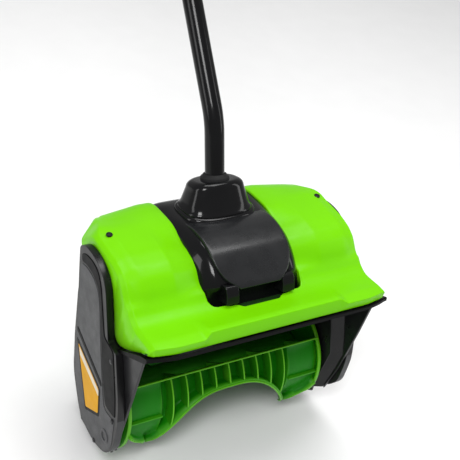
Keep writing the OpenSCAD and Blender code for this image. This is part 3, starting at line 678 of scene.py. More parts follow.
def build_motor_cover():
    middle, side = Line(COVER_MIDDLE), Line(COVER_SIDE)
    rows = []
    steps = 110
    for i in range(steps + 1):
        a, b = middle.at(middle.length * i / steps), side.at(side.length * i / steps)
        row = [(x, a.x, a.y) for x in (0, 14, 28, 42, 50)]
        for x in (54, 56, 57.5, 59, 61, 63, 65, 67, 69, 70.5, COVER_HW):
            drop = ((x - 50) / (COVER_HW - 50)) ** 2.2
            row.append((x, mix(a.x, b.x, drop), mix(a.y, b.y, drop)))
        n = side.normal(side.length * i / steps)
        row.append((COVER_HW, b.x - n.x * 18, b.y - n.y * 18))
        rows.append(row)
    piece("motor_cover_shell", both(grid(rows)), "black_gloss", replaces=["motor_cover"], thick=1.8,
          angle=40, even=False)
    # raised panel: its sides narrow towards the bottom
    line = Line(PANEL_SKIN)
    sides = Line(rounded([(0, 29), (4, 33, 4), (14, 45.5, 7), (33, 55, 16), (60, 56.5, 20),
                          (line.length, 57.5)], 8))
    rows = []
    for i in range(46):
        s = line.length * i / 45
        w = sides.at(sides.where(lambda q: q.x >= s - 0.01)).y
        p = line.at(s)
        rows.append([(w * k / 12, p.x, p.y) for k in range(13)])
    piece("motor_cover_panel", both(grid(rows)), "grey_plastic", thick=7.5, bevel=1.6, turns=3, angle=50,
          look=CHARCOAL)
    # feet that carry the panel down to the hood
    foot = rounded([(-149, 153), (-149, 168, 4), (-146, 176, 3), (-132, 178, 3), (-127, 160, 3),
                    (-129, 153)], 2)
    part = join(prism(foot, 32, 50), prism(foot, -50, -32))
    piece("motor_cover_feet", part, "black_gloss", bevel=1.6, turns=3)


def squared(hx, hy, r, cy):
    """A rounded rectangle as points in (x, y)."""
    out = []
    for sx, sy, a0 in ((1, 1, 0), (-1, 1, 90), (-1, -1, 180), (1, -1, 270)):
        for k in range(9):
            a = math.radians(a0 + 90 * k / 8)
            out.append((sx * (hx - r) + r * math.cos(a), cy + sy * (hy - r) + r * math.sin(a)))
    return out


def layered(rows, centre, axis="z"):
    """Rounded rectangles stacked along an axis: rows of (height, half width, half depth, corner)."""
    rings = []
    for h, a, b, r, *own in rows:
        ring = squared(a, b, r, own[0] if own else centre)
        rings.append([(x, v, h) if axis == "z" else (x, h, v) for x, v in ring])
    return loft(rings)


def build_boss():
    base_cy = SHAFT_Y + 0.5
    rings = []
    for hx, hy, lift in ((52, 35.5, -4.0), (52, 35.5, 1.5), (51, 34.5, 3.2), (48.5, 32.4, 4.0)):
        rings.append([(x, y + base_cy, cover_height(y + base_cy) + lift) for x, y in oval(hx, hy, 64, 2.9)])
    top = BOSS_TOP - 9
    for t in (0.0, 0.06, 0.16, 0.35, 0.6, 0.85, 1.0):
        flare = 2.0 * max(0, 1 - t / 0.16)
        hx = mix(46.5, 37.5, t) + flare
        hy = mix(31, 26, t) + flare
        cy = mix(base_cy, SHAFT_Y, t)
        edge = oval(hx, hy, 64, 2.9)
        rings.append([(x, y + cy, mix(cover_height(y + cy) + 5.5, top, t)) for x, y in edge])
    for k in range(1, 9):
        a = math.pi / 2 * k / 8
        inset = 10 * (1 - math.cos(a))
        edge = oval(37.5 - inset, 26 - inset * 0.6, 64, mix(2.9, 2.4, k / 8))
        rings.append([(x, y + SHAFT_Y, top + 9 * math.sin(a) - 0.2) for x, y in edge])
    hole_r = 19.0
    turns = [math.atan2(y - SHAFT_Y, x) for x, y, z in rings[-1]]
    hole = [(hole_r * math.cos(a), SHAFT_Y + hole_r * math.sin(a)) for a in turns]
    rings += [[(x, y, BOSS_TOP - depth) for x, y in hole] for depth in (0.2, 12)]
    piece("shaft_boss_shell", loft(rings, caps=False), "black_gloss", replaces=["shaft_boss"], angle=50)
    z = BOSS_TOP
    ring = [(TUBE_R + 0.1, z - 3), (18.3, z - 3), (18.6, z + 2.2), (18.0, z + 3.6), (16.2, z + 4.6),
            (15.4, z + 6.3), (14.2, z + 6.9), (TUBE_R + 0.15, z + 6.9), (TUBE_R + 0.1, z - 3)]
    piece("boss_grommet", lathe(ring, n=64, centre=(0, SHAFT_Y, 0), caps=False), "rubber",
          replaces=["boss_collar"], angle=60)


# ---- rotor ----


TIP_X = 112                              # the blade edge dips most at this distance from the middle


def edge_angle(x):
    a = abs(x)
    if a < TIP_X:
        return 178 + 70 * (a / TIP_X) ** 3
    return 248 - 20 * ease(TIP_X, TIP_X + 10, a) - 24 * ((a - TIP_X) / (ROTOR_HW - TIP_X)) ** 2


def blade_radius(x):
    """The tips flare out a little."""
    return BLADE_R + 0.5 * ease(84, 108, abs(x)) * (1 - ease(116, 136, abs(x)))


END_BAY = (96, 101)                      # x where the scoop of a blade gets shallower


def back_radius(x):
    """How deep a blade is scooped out: its end bays are shallower."""
    return mix(57, 66, ease(*END_BAY, abs(x)))


FLANGE = 154                             # angle of the straight top edge of a blade


def polar(x, r, a):
    return (x, r * math.cos(math.radians(a)), r * math.sin(math.radians(a)))


def wedge(*points):
    """An outline in (y, z) from points of (radius, angle)."""
    return [polar(0, r, a)[1:] for r, a in points]


def twice(part):
    """A part of one blade, repeated on the blade across from it."""
    return join(part, moved(part, Matrix.Rotation(math.pi, 4, "X")))


def highlight_beyond(radius):
    """Gives the painted highlight to faces further than a radius from the axle."""
    return lambda centre, normal: int(Vector((0, centre.y, centre.z)).length > radius)


def rib_highlight_faces(centre, normal):
    """Painted highlight on the outer edges of the ribs, not on their flat sides."""
    return int(Vector((0, centre.y, centre.z)).length > BLADE_R - 4.5 and abs(normal.x) < 0.5)


def build_rotor():
    inner = ROTOR_HW - 4
    across = [mix(-inner, inner, i / 60) for i in range(61)]
    across = sorted(across + [side * (TIP_X + d) for side in (-1, 1) for d in (-2, 0, 2.5, 5, 7.5, 10)]
                    + [side * x for side in (-1, 1) for x in END_BAY])
    rows = []
    for x in across:
        last = edge_angle(x)
        spread = last - FLANGE
        r_in = back_radius(x)
        r_out = blade_radius(x)
        fold = [(BLADE_R, 0.0), (mix(BLADE_R, r_in, 0.5), 0.0), (r_in + 4, 0.012), (r_in + 1, 0.05),
                (r_in, 0.14)]
        back = [(r_in, t) for t in (0.28, 0.42, 0.58, 0.72, 0.86)]
        lead = [(r_in + 1, 0.95), (r_in + 4, 0.988), (mix(r_out, r_in, 0.5), 1.0), (r_out, 1.0)]
        rows.append([polar(x, r, FLANGE + spread * t) for r, t in fold + back + lead])
    scoop = grid(rows)
    piece("rotor_blades", twice(scoop), "rotor_plastic", body="rotor", replaces=["paddle_rotor"], thick=2.6,
          angle=50)
    # painted highlight on the edges: a thin bead along both edges of each blade, in a lighter green
    beads = []
    for path in ([polar(x, BLADE_R - 0.2, FLANGE + 0.9) for x in across],
                 [polar(x, blade_radius(x) - 0.2, edge_angle(x) + 0.9) for x in across]):
        beads.append(sweep(path, circle(1.3, 10)))
    piece("rotor_blade_highlight_beads", twice(join(*beads)), "rotor_plastic", body="rotor", look=PAINTED_HIGHLIGHT_GREEN, angle=60)
    ribs = []
    count = 9
    pitch = 21.8
    for i in range(count):
        x = (i - (count - 1) / 2) * pitch
        angles = [mix(FLANGE, edge_angle(x), k / 12) for k in range(13)]
        out = [(BLADE_R - 0.4, a) for a in angles]
        back = [(back_radius(x) - 1.5, a) for a in reversed(angles)]
        ribs.append(prism(wedge(*out, *back), x - 1.1, x + 1.1))
    for side in (-1, 1):
        shelf = wedge((62, 194), (73, 194.4), (73, 196.2), (62, 196.4))
        ribs.append(prism(shelf, *sorted((side * 100, side * (inner + 1)))))
    # the outer edges of the ribs get the painted highlight
    piece("rotor_ribs", twice(join(*ribs)), "rotor_plastic", body="rotor", extra=[PAINTED_HIGHLIGHT_GREEN], pick=rib_highlight_faces,
          bevel=0.35)
    discs = []
    for side in (-1, 1):
        a, b = side * (ROTOR_HW - 4), side * ROTOR_HW
        discs.append(lathe([(7, a), (DISC_R - 3, a), (DISC_R - 2.6, a - side * 1.2),
                            (DISC_R - 0.6, a - side * 1.2), (DISC_R, a - side * 0.4),
                            (DISC_R, b - side * 0.8), (DISC_R - 0.9, b), (7, b)], n=120, axis="x",
                           caps=False))
    # the outer rims of the discs get the painted highlight
    piece("rotor_discs", join(*discs), "rotor_plastic", body="rotor", extra=[PAINTED_HIGHLIGHT_GREEN],
          pick=highlight_beyond(DISC_R - 2.8), angle=50)
    hub = lathe([(7, -inner), (17, -inner), (17, inner), (7, inner)], n=48, axis="x", caps=False)
    # gussets from the hub to the blades
    web = wedge((15, 140), (57, FLANGE + 1), (57, 176), (15, 215))
    webs = [prism(web, x - 1.5, x + 1.5) for x in (-132, -66, 0, 66, 132)]
    piece("rotor_hub", join(hub, twice(join(*webs))), "rotor_plastic", body="rotor", bevel=0.5)


# ---- side plates, end covers, trim ----

# all outlines in (y, z): where a side plate folds outward, where its step ends and the front edge of its wing
FOLD = [(-88, 103), (-90, 50), (-90, 15), (-70.5, -19), (-51, -54)]
SHOULDER = [(-105, 104), (-105, 44), (-103, 14), (-86, -15), (-60, -54)]
FRONT = [(-162, 114), (-134, 62), (-108, 16), (-92, -12), (-61, -55)]
STEP_W = 12
# the rest of the plate; then a cover's outer part, its deep part, the black band and the grey face on it
PLATE_BACK = [(-48, -62), (14.9, -81.8), (60, -65.4), (66, -44), (74, -8), (74, 20), (66, 62), (48, 128),
              (40, 150), (-84, 150)]
COVER_OUT = rounded([(-89, 114, 4), (-89, 184, 12), (-79, 202, 14), (-62, 215, 14), (-38, 222, 8),
                     (-20, 218, 6), (-15, 196, 8), (-4, 139, 30), (14, 69, 20), (18, 32, 16), (16, -4, 12),
                     (9, -28, 12), (-14, -44, 12), (-38, -51, 12), (-64, -51, 12), (-88, -34, 10),
                     (-106, 6, 12), (-111, 40, 12), (-110, 106, 4)], 8, n=6, closed=True)
COVER_DEEP = rounded([(-86, 100), (-86, 186, 16), (-74, 208, 14), (-50, 216, 10), (-14, 216, 8),
                      (-6, 204, 6), (14, 139), (33, 69), (40, 32), (41, 4), (34, -28), (14, -45),
                      (-12, -50), (-36, -55), (-50, -53), (-68, -26), (-80, 12), (-86, 45)], 6, closed=True)
ARCH = rounded([(-101, 16, 4), (-74, 22, 8), (-70.5, 50, 20), (-70.5, 96, 30), (-74, 166, 16),
                (-64, 186, 16), (-44, 197, 12), (-25, 199, 4), (-26, 209, 3), (-38, 212, 6),
                (-57, 208.5, 10), (-71.5, 200, 12), (-78, 183, 12), (-80.5, 118, 5), (-104, 107, 4),
                (-104.5, 46, 12)], 6, closed=True)
FACE = rounded([(-98, 10, 6), (-69, 16, 8), (-67.5, 50, 20), (-67.5, 96, 30), (-71, 164, 16),
                (-62, 183, 16), (-43, 194, 12), (-22, 196, 5), (-7, 139, 30), (11, 69, 20), (15, 32, 16),
                (13, -3, 12), (7, -26, 12), (-15, -41, 12), (-38, -48, 12), (-63, -48, 12), (-85, -34, 14)],
               8, closed=True)


def build_sides():
    t = 3.5
    plate = prism(FOLD + PLATE_BACK, PLATE_X0, PLATE_X0 + t)
    folds = list(zip(FOLD, SHOULDER))
    step = grid([[(PLATE_X0 + t, *f), (PLATE_X0 + t + STEP_W, *s)] for f, s in folds])
    wing = prism(SHOULDER + FRONT[::-1], PLATE_X0 + STEP_W, PLATE_X0 + STEP_W + t)
    lining = grid([[(PLATE_X0, f[0] + 1, f[1]), (PLATE_X0 + STEP_W, s[0] + 1, s[1])] for f, s in folds])
    for name, turn in (("right", join), ("left", mirrored)):
        piece(f"{name}_plate", turn(join(plate, wing)), "black_plastic", replaces=[f"{name}_side_plate"],
              bevel=1.0, look=PLATE_BLACK)
        piece(f"{name}_plate_step", turn(join(step, lining)), "black_plastic", angle=60, look=PLATE_BLACK)
        build_end_cover(name, turn)


def cover_black(centre, normal):
    """Black look on the front, the ends and the top of a cover, above its foot."""
    front = centre.z > 14 and (normal.y < -0.2 or abs(normal.x) > 0.9)
    return int(front or (normal.z > 0.3 and centre.z > 150))


def build_end_cover(name, turn):
    node = "left_belt_cover" if name == "left" else "right_end_cover"
    x1, x2 = HOOD_HW + 0.4, COVER_X2
    body = join(prism(COVER_OUT, x1, x2), prism(COVER_DEEP, PLATE_X1 + 0.3, x1 + 1))
    piece(f"{name}_cover_body", turn(body), "grey_plastic", replaces=[node], extra=[PLATE_BLACK],
          pick=cover_black, bevel=2.2, turns=3)
    stripe = rounded([(-1.5, 103), (-64.5, 52), (-66.5, 46), (-64, 44), (0, 96), (0.5, 101)], 2,
                     closed=True)
    sticker = rounded([(3.5, 87), (-61, 39), (-54, -3), (-11, -11)], 3, closed=True)
    centre = Vector((-31, 28))
    inside = [tuple(centre + (Vector(q) - centre) * 0.87) for q in sticker]
    band = rounded([(-3.5, 75.5), (-57, 35.5), (-55.8, 27), (-4.6, 64)], 1.5, closed=True)
    # layers on the outside of the cover, as heights over its face
    for layer, outline, low, high, slot, look, bevel in (
            ("cover_band", ARCH, -1, 0.9, "black_gloss", INK, 0.8),
            ("cover_face", FACE, -1, 0.6, "grey_plastic", None, 0.5),
            ("cover_stripe", stripe, 0, 1.1, "black_gloss", INK, 0.3),
            ("decal_border", sticker, 0.3, 0.85, "grey_plastic", DECAL_EDGE, 0),
            ("blank_decal", inside, 0.4, 1.05, "grey_plastic", DECAL, 0),
            ("decal_band", band, 0.5, 1.2, "grey_plastic", DECAL_PALE, 0)):
        part = turn(prism(outline, x2 + low, x2 + high))
        piece(f"{name}_{layer}", part, slot, bevel=bevel, look=look)
    # pivot circle at the foot of the cover
    ring = [(6.0, x2 - 0.5), (6.0, x2 + 1.4), (6.8, x2 + 1.8), (9.2, x2 + 1.8), (10, x2 + 1.2),
            (10, x2 - 0.5)]
    piece(f"{name}_cover_ring", turn(lathe(ring, n=48, axis="x", centre=(0, -68, -23), caps=False)),
          "grey_plastic", angle=40)


def screw(x, y, z, r, side=1):
    """A pan head and its cross recess, looking left (side -1) or right (side 1); the recess is not cut, a black
    cross standing a little out of the head paints its shade.
    """
    height = 1.8
    profile = [(0.001, height), (r * 0.5, height), (r * 0.8, height * 0.86), (r, height * 0.45), (r, 0),
               (0.001, 0)]
    head = lathe([(q, h * side) for q, h in profile], n=32, axis="x")
    x0, x1 = sorted((0, side * (height + 0.05)))
    arms = [block((x0, -a, -b), (x1, a, b)) for a, b in ((r * 0.16, r * 0.62), (r * 0.62, r * 0.16))]
    place = Matrix.Translation((x, y, z))
    return moved(head, place), moved(join(*arms), place)


def build_screws():
    heads, slots = [], []
    for y, z in ((-34, -46), (-92, 8), (-98, 92)):
        for side in (-1, 1):
            h, s = screw(side * (COVER_X2 + 0.1), y, z, 3.6, side=side)
            heads.append(h)
            slots.append(s)
    piece("cover_screw_heads", join(*heads), "steel", replaces=["cover_screws"], angle=30, look=SCREW_BLACK)
    # the black crosses are the painted shade of the heads' recesses
    piece("cover_screw_recess_shade", join(*slots), "steel", look=LOOKS["black_gloss"])
    # small screw holes on the slope of each pod, not cut: black rims and discs over the skin paint the shade
    # inside them
    skin = Line(SKIN)
    at = skin.where(lambda q: q.x > -50)
    spot, up = skin.at(at), skin.normal(at)
    holes, heads = [], []
    for side in (-1, 1):
        tilt = Matrix.Rotation(-math.atan2(up.x, up.y), 4, "X")
        place = Matrix.Translation((side * 156, spot.x, spot.y)) @ tilt
        holes.append(moved(lathe([(1.9, -1.5), (1.9, 0.25), (2.4, 0.45), (3.9, 0.4), (4.2, 0.0),
                                  (4.2, -1.5)], n=32, caps=False), place))
        holes.append(moved(lathe([(0.001, 0.1), (2.0, 0.1), (2.0, -1)], n=24), place))
        heads.append(moved(lathe([(0.001, 0.5), (0.9, 0.45), (1.3, 0.1), (1.3, -1)], n=20), place))
    piece("hood_screw_heads", join(*heads), "steel", replaces=["hood_screws"], look=SCREW_BLACK)
    # black look for the painted shade of the screw holes
    piece("hood_screw_painted_wells", join(*holes), "black_plastic", look=LOOKS["black_gloss"])


def build_trim():
    """Black flange under the lip, stepped like the lip."""
    xs = [0, 40, 84, 90, 96, 102, 108, 114, 126, 140, 152, 162, 170, 174, 176.5]
    rows = []
    for x in xs:
        bottom = lip_row(min(x, HOOD_HW))[0]
        end = ease(160, 177, x)
        y = bottom[0] - 3.0 + 4 * end
        z = bottom[1] - 1.2
        rows.append([(x, -100, 108.5), (x, y + 16, z - 1.5), (x, y + 1.2, z), (x, y, z - 1.2),
                     (x, y + 1.0, z - 5.2), (x, y + 10, z - 8.5), (x, -99, 105)])
    piece("front_trim_flange", both(loft(rows)), "black_plastic", replaces=["front_trim"], angle=30,
          look=INK)


# ---- shafts, coupler and front handle ----


def shaft_path(s0, s1):
    """Centre of the bent tube in the head frame, from z = s0 on the stub to s1 along the upper part."""
    bend = LEAN - HEAD_PITCH
    cut = BEND_R * math.tan(bend / 2)
    points = [(0, SHAFT_Y, mix(s0, BEND_Z - cut, k / 6)) for k in range(6)]
    for k in range(17):
        a = bend * k / 16
        points.append((0, SHAFT_Y + BEND_R * (1 - math.cos(a)), BEND_Z - cut + BEND_R * math.sin(a)))
    start = Vector(points[-1])
    d = Vector((0, math.sin(bend), math.cos(bend)))
    points += [tuple(start + d * (s1 - cut) * k / 8) for k in range(1, 9)]
    return points


def rod(x0, x1, y, s, r, edge=0.5):
    """A round bar across the shaft, with softened ends."""
    d = math.copysign(edge, x1 - x0)
    profile = [(r - edge, x0), (r, x0 + d), (r, x1 - d), (r - edge, x1)]
    return lathe(profile, n=40, axis="x", centre=(0, y, s))


def lobed_knob(x0, y, s):
    """A star knob with round lobes and a dished face."""
    r, lobes = 16.5, 5
    rings = []
    n = 80
    for scale, h in ((0.82, 0), (0.97, 1.2), (1.0, 3), (1.0, 9), (0.97, 10.8), (0.86, 12), (0.5, 12.2),
                     (0.45, 11.2), (0.02, 11.0)):
        ring = []
        for k in range(n):
            a = 2 * math.pi * k / n
            wave = 1 - 0.13 * (0.5 - 0.5 * math.cos(lobes * a)) ** 1.4 if scale > 0.6 else 1
            q = r * scale * wave
            ring.append((x0 + h, y + q * math.cos(a), s + q * math.sin(a)))
        rings.append(ring)
    return loft(rings)


COUPLER = (200, 268)                     # along the shaft, as all lengths called s
CLAMP_S = 330
PIVOT_Y = -34                            # pivot of the front handle
LOOP_H = 132
LOOP_HW = 75
LEG_X1 = 28                              # outer end of the loop's hubs


def build_shaft():
    tube = sweep(shaft_path(200, 231.8), circle(TUBE_R, 48))
    piece("lower_tube", tube, "painted_tube", replaces=["lower_shaft"], angle=50)
    up = lathe([(TUBE_R - 0.6, 236.2), (TUBE_R, 236.8), (TUBE_R, 469.4), (TUBE_R - 0.6, 469.9)], n=48)
    piece("upper_tube", up, "painted_tube", SHAFT, replaces=["upper_shaft"], angle=50)
    s0, s1 = COUPLER
    mid = (s0 + s1) / 2
    sleeve = [(TUBE_R + 0.1, s0 + 0.8), (TUBE_R + 0.9, s0), (15.4, s0), (16.6, s0 + 1.4), (17.2, s0 + 8),
              (17.2, s0 + 14), (17.5, s0 + 15), (17.5, s1 - 15), (17.2, s1 - 14), (17.2, s1 - 8),
              (16.6, s1 - 1.4), (15.4, s1), (TUBE_R + 0.9, s1), (TUBE_R + 0.1, s1 - 0.8),
              (TUBE_R + 0.1, s0 + 0.8)]
    sleeve = lathe(sleeve, n=64, caps=False)
    boss = loft([[(x, y * k, mid + z * k) for y, z in oval(11.5, 13.5, 40, 3.2)]
                 for x, k in ((6, 1.0), (21.5, 0.97), (23.2, 0.92), (23.9, 0.84))])
    rings = [tube_wall(17.9, TUBE_R + 0.2, s, s + 2.4, edge=0.5) for s in (s0 + 5, s1 - 7.4)]
    piece("coupler_sleeve", join(sleeve, boss, *rings), "black_plastic", SHAFT, replaces=["shaft_coupler"],
          angle=40)
    piece("coupler_star_knob", join(lobed_knob(24.4, 0, mid), rod(16, 26, 0, mid, 4)), "black_plastic",
          SHAFT, "coupler_knob", replaces=["coupler_knob"], angle=40)


def build_front_handle():
    half = 20
    s0, s1 = CLAMP_S - half, CLAMP_S + half
    band = [(TUBE_R + 0.1, s0 + 0.8), (TUBE_R + 0.9, s0), (17.4, s0), (18.8, s0 + 1.6), (18.8, s1 - 1.6),
            (17.4, s1), (TUBE_R + 0.9, s1), (TUBE_R + 0.1, s1 - 0.8), (TUBE_R + 0.1, s0 + 0.8)]
    band = lathe(band, n=64, caps=False)
    neck = loft([[(x, y, CLAMP_S + z) for x, z in oval(10.8, b, 40, 4)]
                 for y, b in ((-14, 15), (-22, 11.5), (PIVOT_Y, 10.8))])
    eye = rod(-10.9, 10.9, PIVOT_Y, CLAMP_S, 11, edge=0.8)
    rib = [(-18, CLAMP_S - 18), (-29, CLAMP_S - 7), (-29, CLAMP_S + 7), (-18, CLAMP_S + 18)]
    ribs = [prism(rib, x - 1, x + 1) for x in (-8, 8)]
    piece("clamp_body", join(band, neck, eye, *ribs), "black_plastic", SHAFT, "clamp",
          replaces=["handle_clamp"], bevel=0.5)
    # loop: two legs that widen to the grip, as one swept bar on each side
    path = smooth_path([(20, PIVOT_Y + 2, 0), (20.5, PIVOT_Y - 16, 0), (25, PIVOT_Y - 36, 0),
                        (44, PIVOT_Y - 56, 0), (64, PIVOT_Y - 72, 0), (73, PIVOT_Y - 90, 0),
                        (LOOP_HW, PIVOT_Y - 112, 0), (73, PIVOT_Y - 127, 0), (64, PIVOT_Y - LOOP_H, 0),
                        (50, PIVOT_Y - LOOP_H, 0)])
    path = [q + Vector((0, 0, CLAMP_S)) for q in path]

    def section(t):
        a = mix(7.2, 7.8, t)
        return oval(a, a * 0.94, 28, 2.8)

    leg = sweep(path, section)
    hub = rod(11.4, LEG_X1, PIVOT_Y, CLAMP_S, 12, edge=1.2)
    bar = rod(-52, 52, PIVOT_Y - LOOP_H, CLAMP_S, 7.8)
    piece("front_loop", join(both(join(leg, hub)), bar), "black_plastic", SHAFT, "front_handle",
          replaces=["front_handle"], angle=40)
    rings = []
    n = 64
    steps = 108
    for i in range(steps + 1):
        x = mix(-54, 54, i / steps)
        end = max(0, abs(x) - 50) / 4
        r = 13.6 - 0.55 * (1 if (i // 2) % 2 and abs(x) < 48 else 0) - 3.2 * end * end
        rings.append([(x, PIVOT_Y - LOOP_H + r * math.cos(2 * math.pi * k / n),
                       CLAMP_S + r * math.sin(2 * math.pi * k / n)) for k in range(n)])
    piece("front_foam_grip", loft(rings), "rubber", SHAFT, "front_handle", replaces=["front_grip"],
          angle=60)
    bolt = join(rod(-LEG_X1 - 2.9, LEG_X1 + 2, PIVOT_Y, CLAMP_S, 4),
                rod(-LEG_X1 - 5, -LEG_X1 - 0.4, PIVOT_Y, CLAMP_S, 7.6))
    piece("clamp_star_knob", join(lobed_knob(LEG_X1 + 0.4, PIVOT_Y, CLAMP_S), bolt), "black_plastic", SHAFT,
          "clamp_knob", replaces=["clamp_knob"], angle=40)


# ---- rear handle, trigger and battery ----

NECK = (425, 482)
HOLE = (488, 584)                        # hand hole
HOLE_TOP = -18
GRIP_TOP = -48
BLOCK = (592, 656)                       # the block that holds the battery, along the shaft
BLOCK_Y = -4                             # middle of the block and of the battery
SEAM = 0.12                              # half of the gap between the two shells
LOCK_S = 506                             # lock-off button


def solid(name, part):
    """A linked object with its faces outward, made only to be blended or cut."""
    mesh = mesh_of(name, part)
    turn_outward(mesh)
    return linked(name, mesh)


def carved(obj, holes, use_self=False):
    """Cuts the holes out of an object, and gives its shape back as a part."""
    cutters = [solid(f"{obj.name}_cut{k}", hole) for k, hole in enumerate(holes)]
    for cutter in cutters:
        cut = obj.modifiers.new(cutter.name, "BOOLEAN")
        cut.object = cutter
        cut.solver = "EXACT"
        cut.use_self = use_self
    bpy.context.view_layer.update()
    shape = obj.evaluated_get(bpy.context.evaluated_depsgraph_get())
    part = part_of(shape.to_mesh())
    shape.to_mesh_clear()
    for used in [obj] + cutters:
        bpy.data.objects.remove(used)
    return part


def solid_blend(name, parts, holes):
    """Joins overlapping solids into one soft moulded skin, then cuts the holes out of it."""
    obj = solid(name, join(*parts))
    skin = obj.modifiers.new("skin", "REMESH")
    skin.mode = "VOXEL"
    skin.voxel_size = 1.7
    smooth = obj.modifiers.new("smooth", "SMOOTH")
    smooth.factor = 0.5
    smooth.iterations = 8
    return carved(obj, holes)


def half_of(part, side):
    """The part of a mesh on one side of the middle plane, closed where it was cut."""
    mesh = mesh_of("half", part)
    bm = bmesh.new()
    bm.from_mesh(mesh)
    got = bmesh.ops.bisect_plane(bm, geom=bm.verts[:] + bm.edges[:] + bm.faces[:],
                                 plane_co=(side * SEAM, 0, 0), plane_no=(side, 0, 0), clear_inner=True)
    edges = [e for e in got["geom_cut"] if isinstance(e, bmesh.types.BMEdge)]
    bmesh.ops.triangle_fill(bm, use_beauty=True, edges=edges, normal=(-side, 0, 0))
    bmesh.ops.recalc_face_normals(bm, faces=bm.faces)
    bm.to_mesh(mesh)
    bm.free()
    return part_of(mesh)


def bar_along(points, a, b, power=2.6):
    return sweep(smooth_path(points, 6), oval(a, b, 28, power))


def build_rear_handle():
    s0, s1 = NECK
    neck = lathe([(20, s0), (21.8, s0 + 3), (21.8, s0 + 30), (20.5, s1 + 14)], n=48)
    grip = bar_along([(0, -12, s1 - 8), (0, -26, s1 + 6), (0, -33, HOLE[0] + 18), (0, -33.5, HOLE[0] + 50),
                      (0, -33, HOLE[1] - 6), (0, -33, BLOCK[0] + 14)], 16.5, 14)
    guard = bar_along([(0, 6, s1 - 12), (0, 20, s1 - 2), (0, 29.5, HOLE[0] + 20), (0, 30, HOLE[0] + 55),
                       (0, 30, BLOCK[0] + 10)], 14.5, 8.0, 3.0)
    bridge = bar_along([(0, -20, s1 - 10), (0, 0, s1 - 6), (0, 20, s1 - 4)], 15, 10)
    outer = layered([(BLOCK[0] - 4, 34, 33, 12), (BLOCK[0], 39, 38, 12), (BLOCK[0] + 6, 42.4, 41.4, 12),
                     (BLOCK[1] - 3, 43, 42, 12), (BLOCK[1], 42.4, 41.4, 12)], BLOCK_Y)
    cheek = layered([(HOLE[1] - 8, 16, 14, 11, -33), (BLOCK[0] - 2, 30, 30, 11, -10),
                     (BLOCK[0] + 6, 41, 38, 11)], BLOCK_Y)
    pocket = layered([(603, 38.2, 36.6, 6), (BLOCK[1] + 8, 38.2, 36.6, 6)], BLOCK_Y)
    slit = block((-6.7, HOLE_TOP - 7, 495), (6.7, HOLE_TOP + 12, 553))
    button = block((-7.6, GRIP_TOP - 6, LOCK_S - 11.6), (7.6, GRIP_TOP + 4, LOCK_S + 11.6))
    notch = block((-13.2, BLOCK_Y - 46, BLOCK[1] - 15), (13.2, BLOCK_Y - 33, BLOCK[1] + 8))
    bore = lathe([(TUBE_R + 0.15, s0 - 4), (TUBE_R + 0.15, 469.9)], n=48)
    whole = solid_blend("handle", [neck, grip, guard, bridge, outer, cheek],
                        [pocket, slit, button, notch, bore])
    for name, side in (("left", -1), ("right", 1)):
        piece(f"handle_{name}_half", half_of(whole, side), "lime_plastic", SHAFT,
              replaces=[f"handle_{name}_shell"], angle=40)
    # soft pad over the back of the grip
    rings = []
    for i in range(25):
        s = mix(LOCK_S + 20, HOLE[1] + 1, i / 24)
        end = abs(i / 12 - 1) ** 6
        row = []
        for k in range(17):
            a = math.radians(mix(-18, 198, k / 16))
            groove = 0.35 if i % 3 == 2 else 0
            r = 1.7 - 1.9 * end - groove
            cx, cy = math.cos(a), math.sin(a)
            cx = math.copysign(abs(cx) ** 0.77, cx)
            cy = math.copysign(abs(cy) ** 0.77, cy)
            row.append(((16.8 + r) * cx, -33.2 - (13.8 + r) * cy, s))
        rings.append(row)
    piece("grip_pad", grid(rings), "rubber", SHAFT, replaces=["rear_grip_pad"], thick=2.0, bevel=0.5)
    heads = [screw(x, y, s, 3)[0] for x, y, s in ((21.3, 8, 452), (14.2, 30, 504), (14.2, 30, 586))]
    piece("handle_screw_heads", join(*heads), "steel", SHAFT, replaces=["handle_screws"],
          angle=30, look=SCREW_BLACK)
    finger = rounded([(-24, 499, 2), (-10, 500, 4), (-5.5, 508, 6), (-8, 522, 12), (-12, 535, 8),
                      (-19, 549, 5), (-27, 551.4, 4), (-32, 545, 4), (-31, 536, 4)], 3, closed=True)
    piece("finger_trigger", prism(finger, -5.9, 5.9), "black_plastic", SHAFT, "trigger",
          replaces=["trigger"], bevel=1.4, turns=3)
    rows = [(GRIP_TOP + 3, 7, 11, 3), (GRIP_TOP - 3.6, 7, 11, 3), (GRIP_TOP - 4.6, 6.4, 10.4, 3),
            (GRIP_TOP - 5, 5, 9, 3)]
    foot = block((-8.3, GRIP_TOP + 3.4, LOCK_S - 12.8), (8.3, GRIP_TOP + 5.3, LOCK_S + 12.8))
    ribs = [block((-5, GRIP_TOP - 5.5, LOCK_S + z - 0.6), (5, GRIP_TOP - 4.6, LOCK_S + z + 0.6))
            for z in (-6, -3, 0, 3, 6)]
    plate = join(layered(rows, LOCK_S, axis="y"), foot, *ribs)
    piece("lock_off_slider", plate, "black_plastic", SHAFT, "lock_button", replaces=["lock_off_button"],
          bevel=0.3)


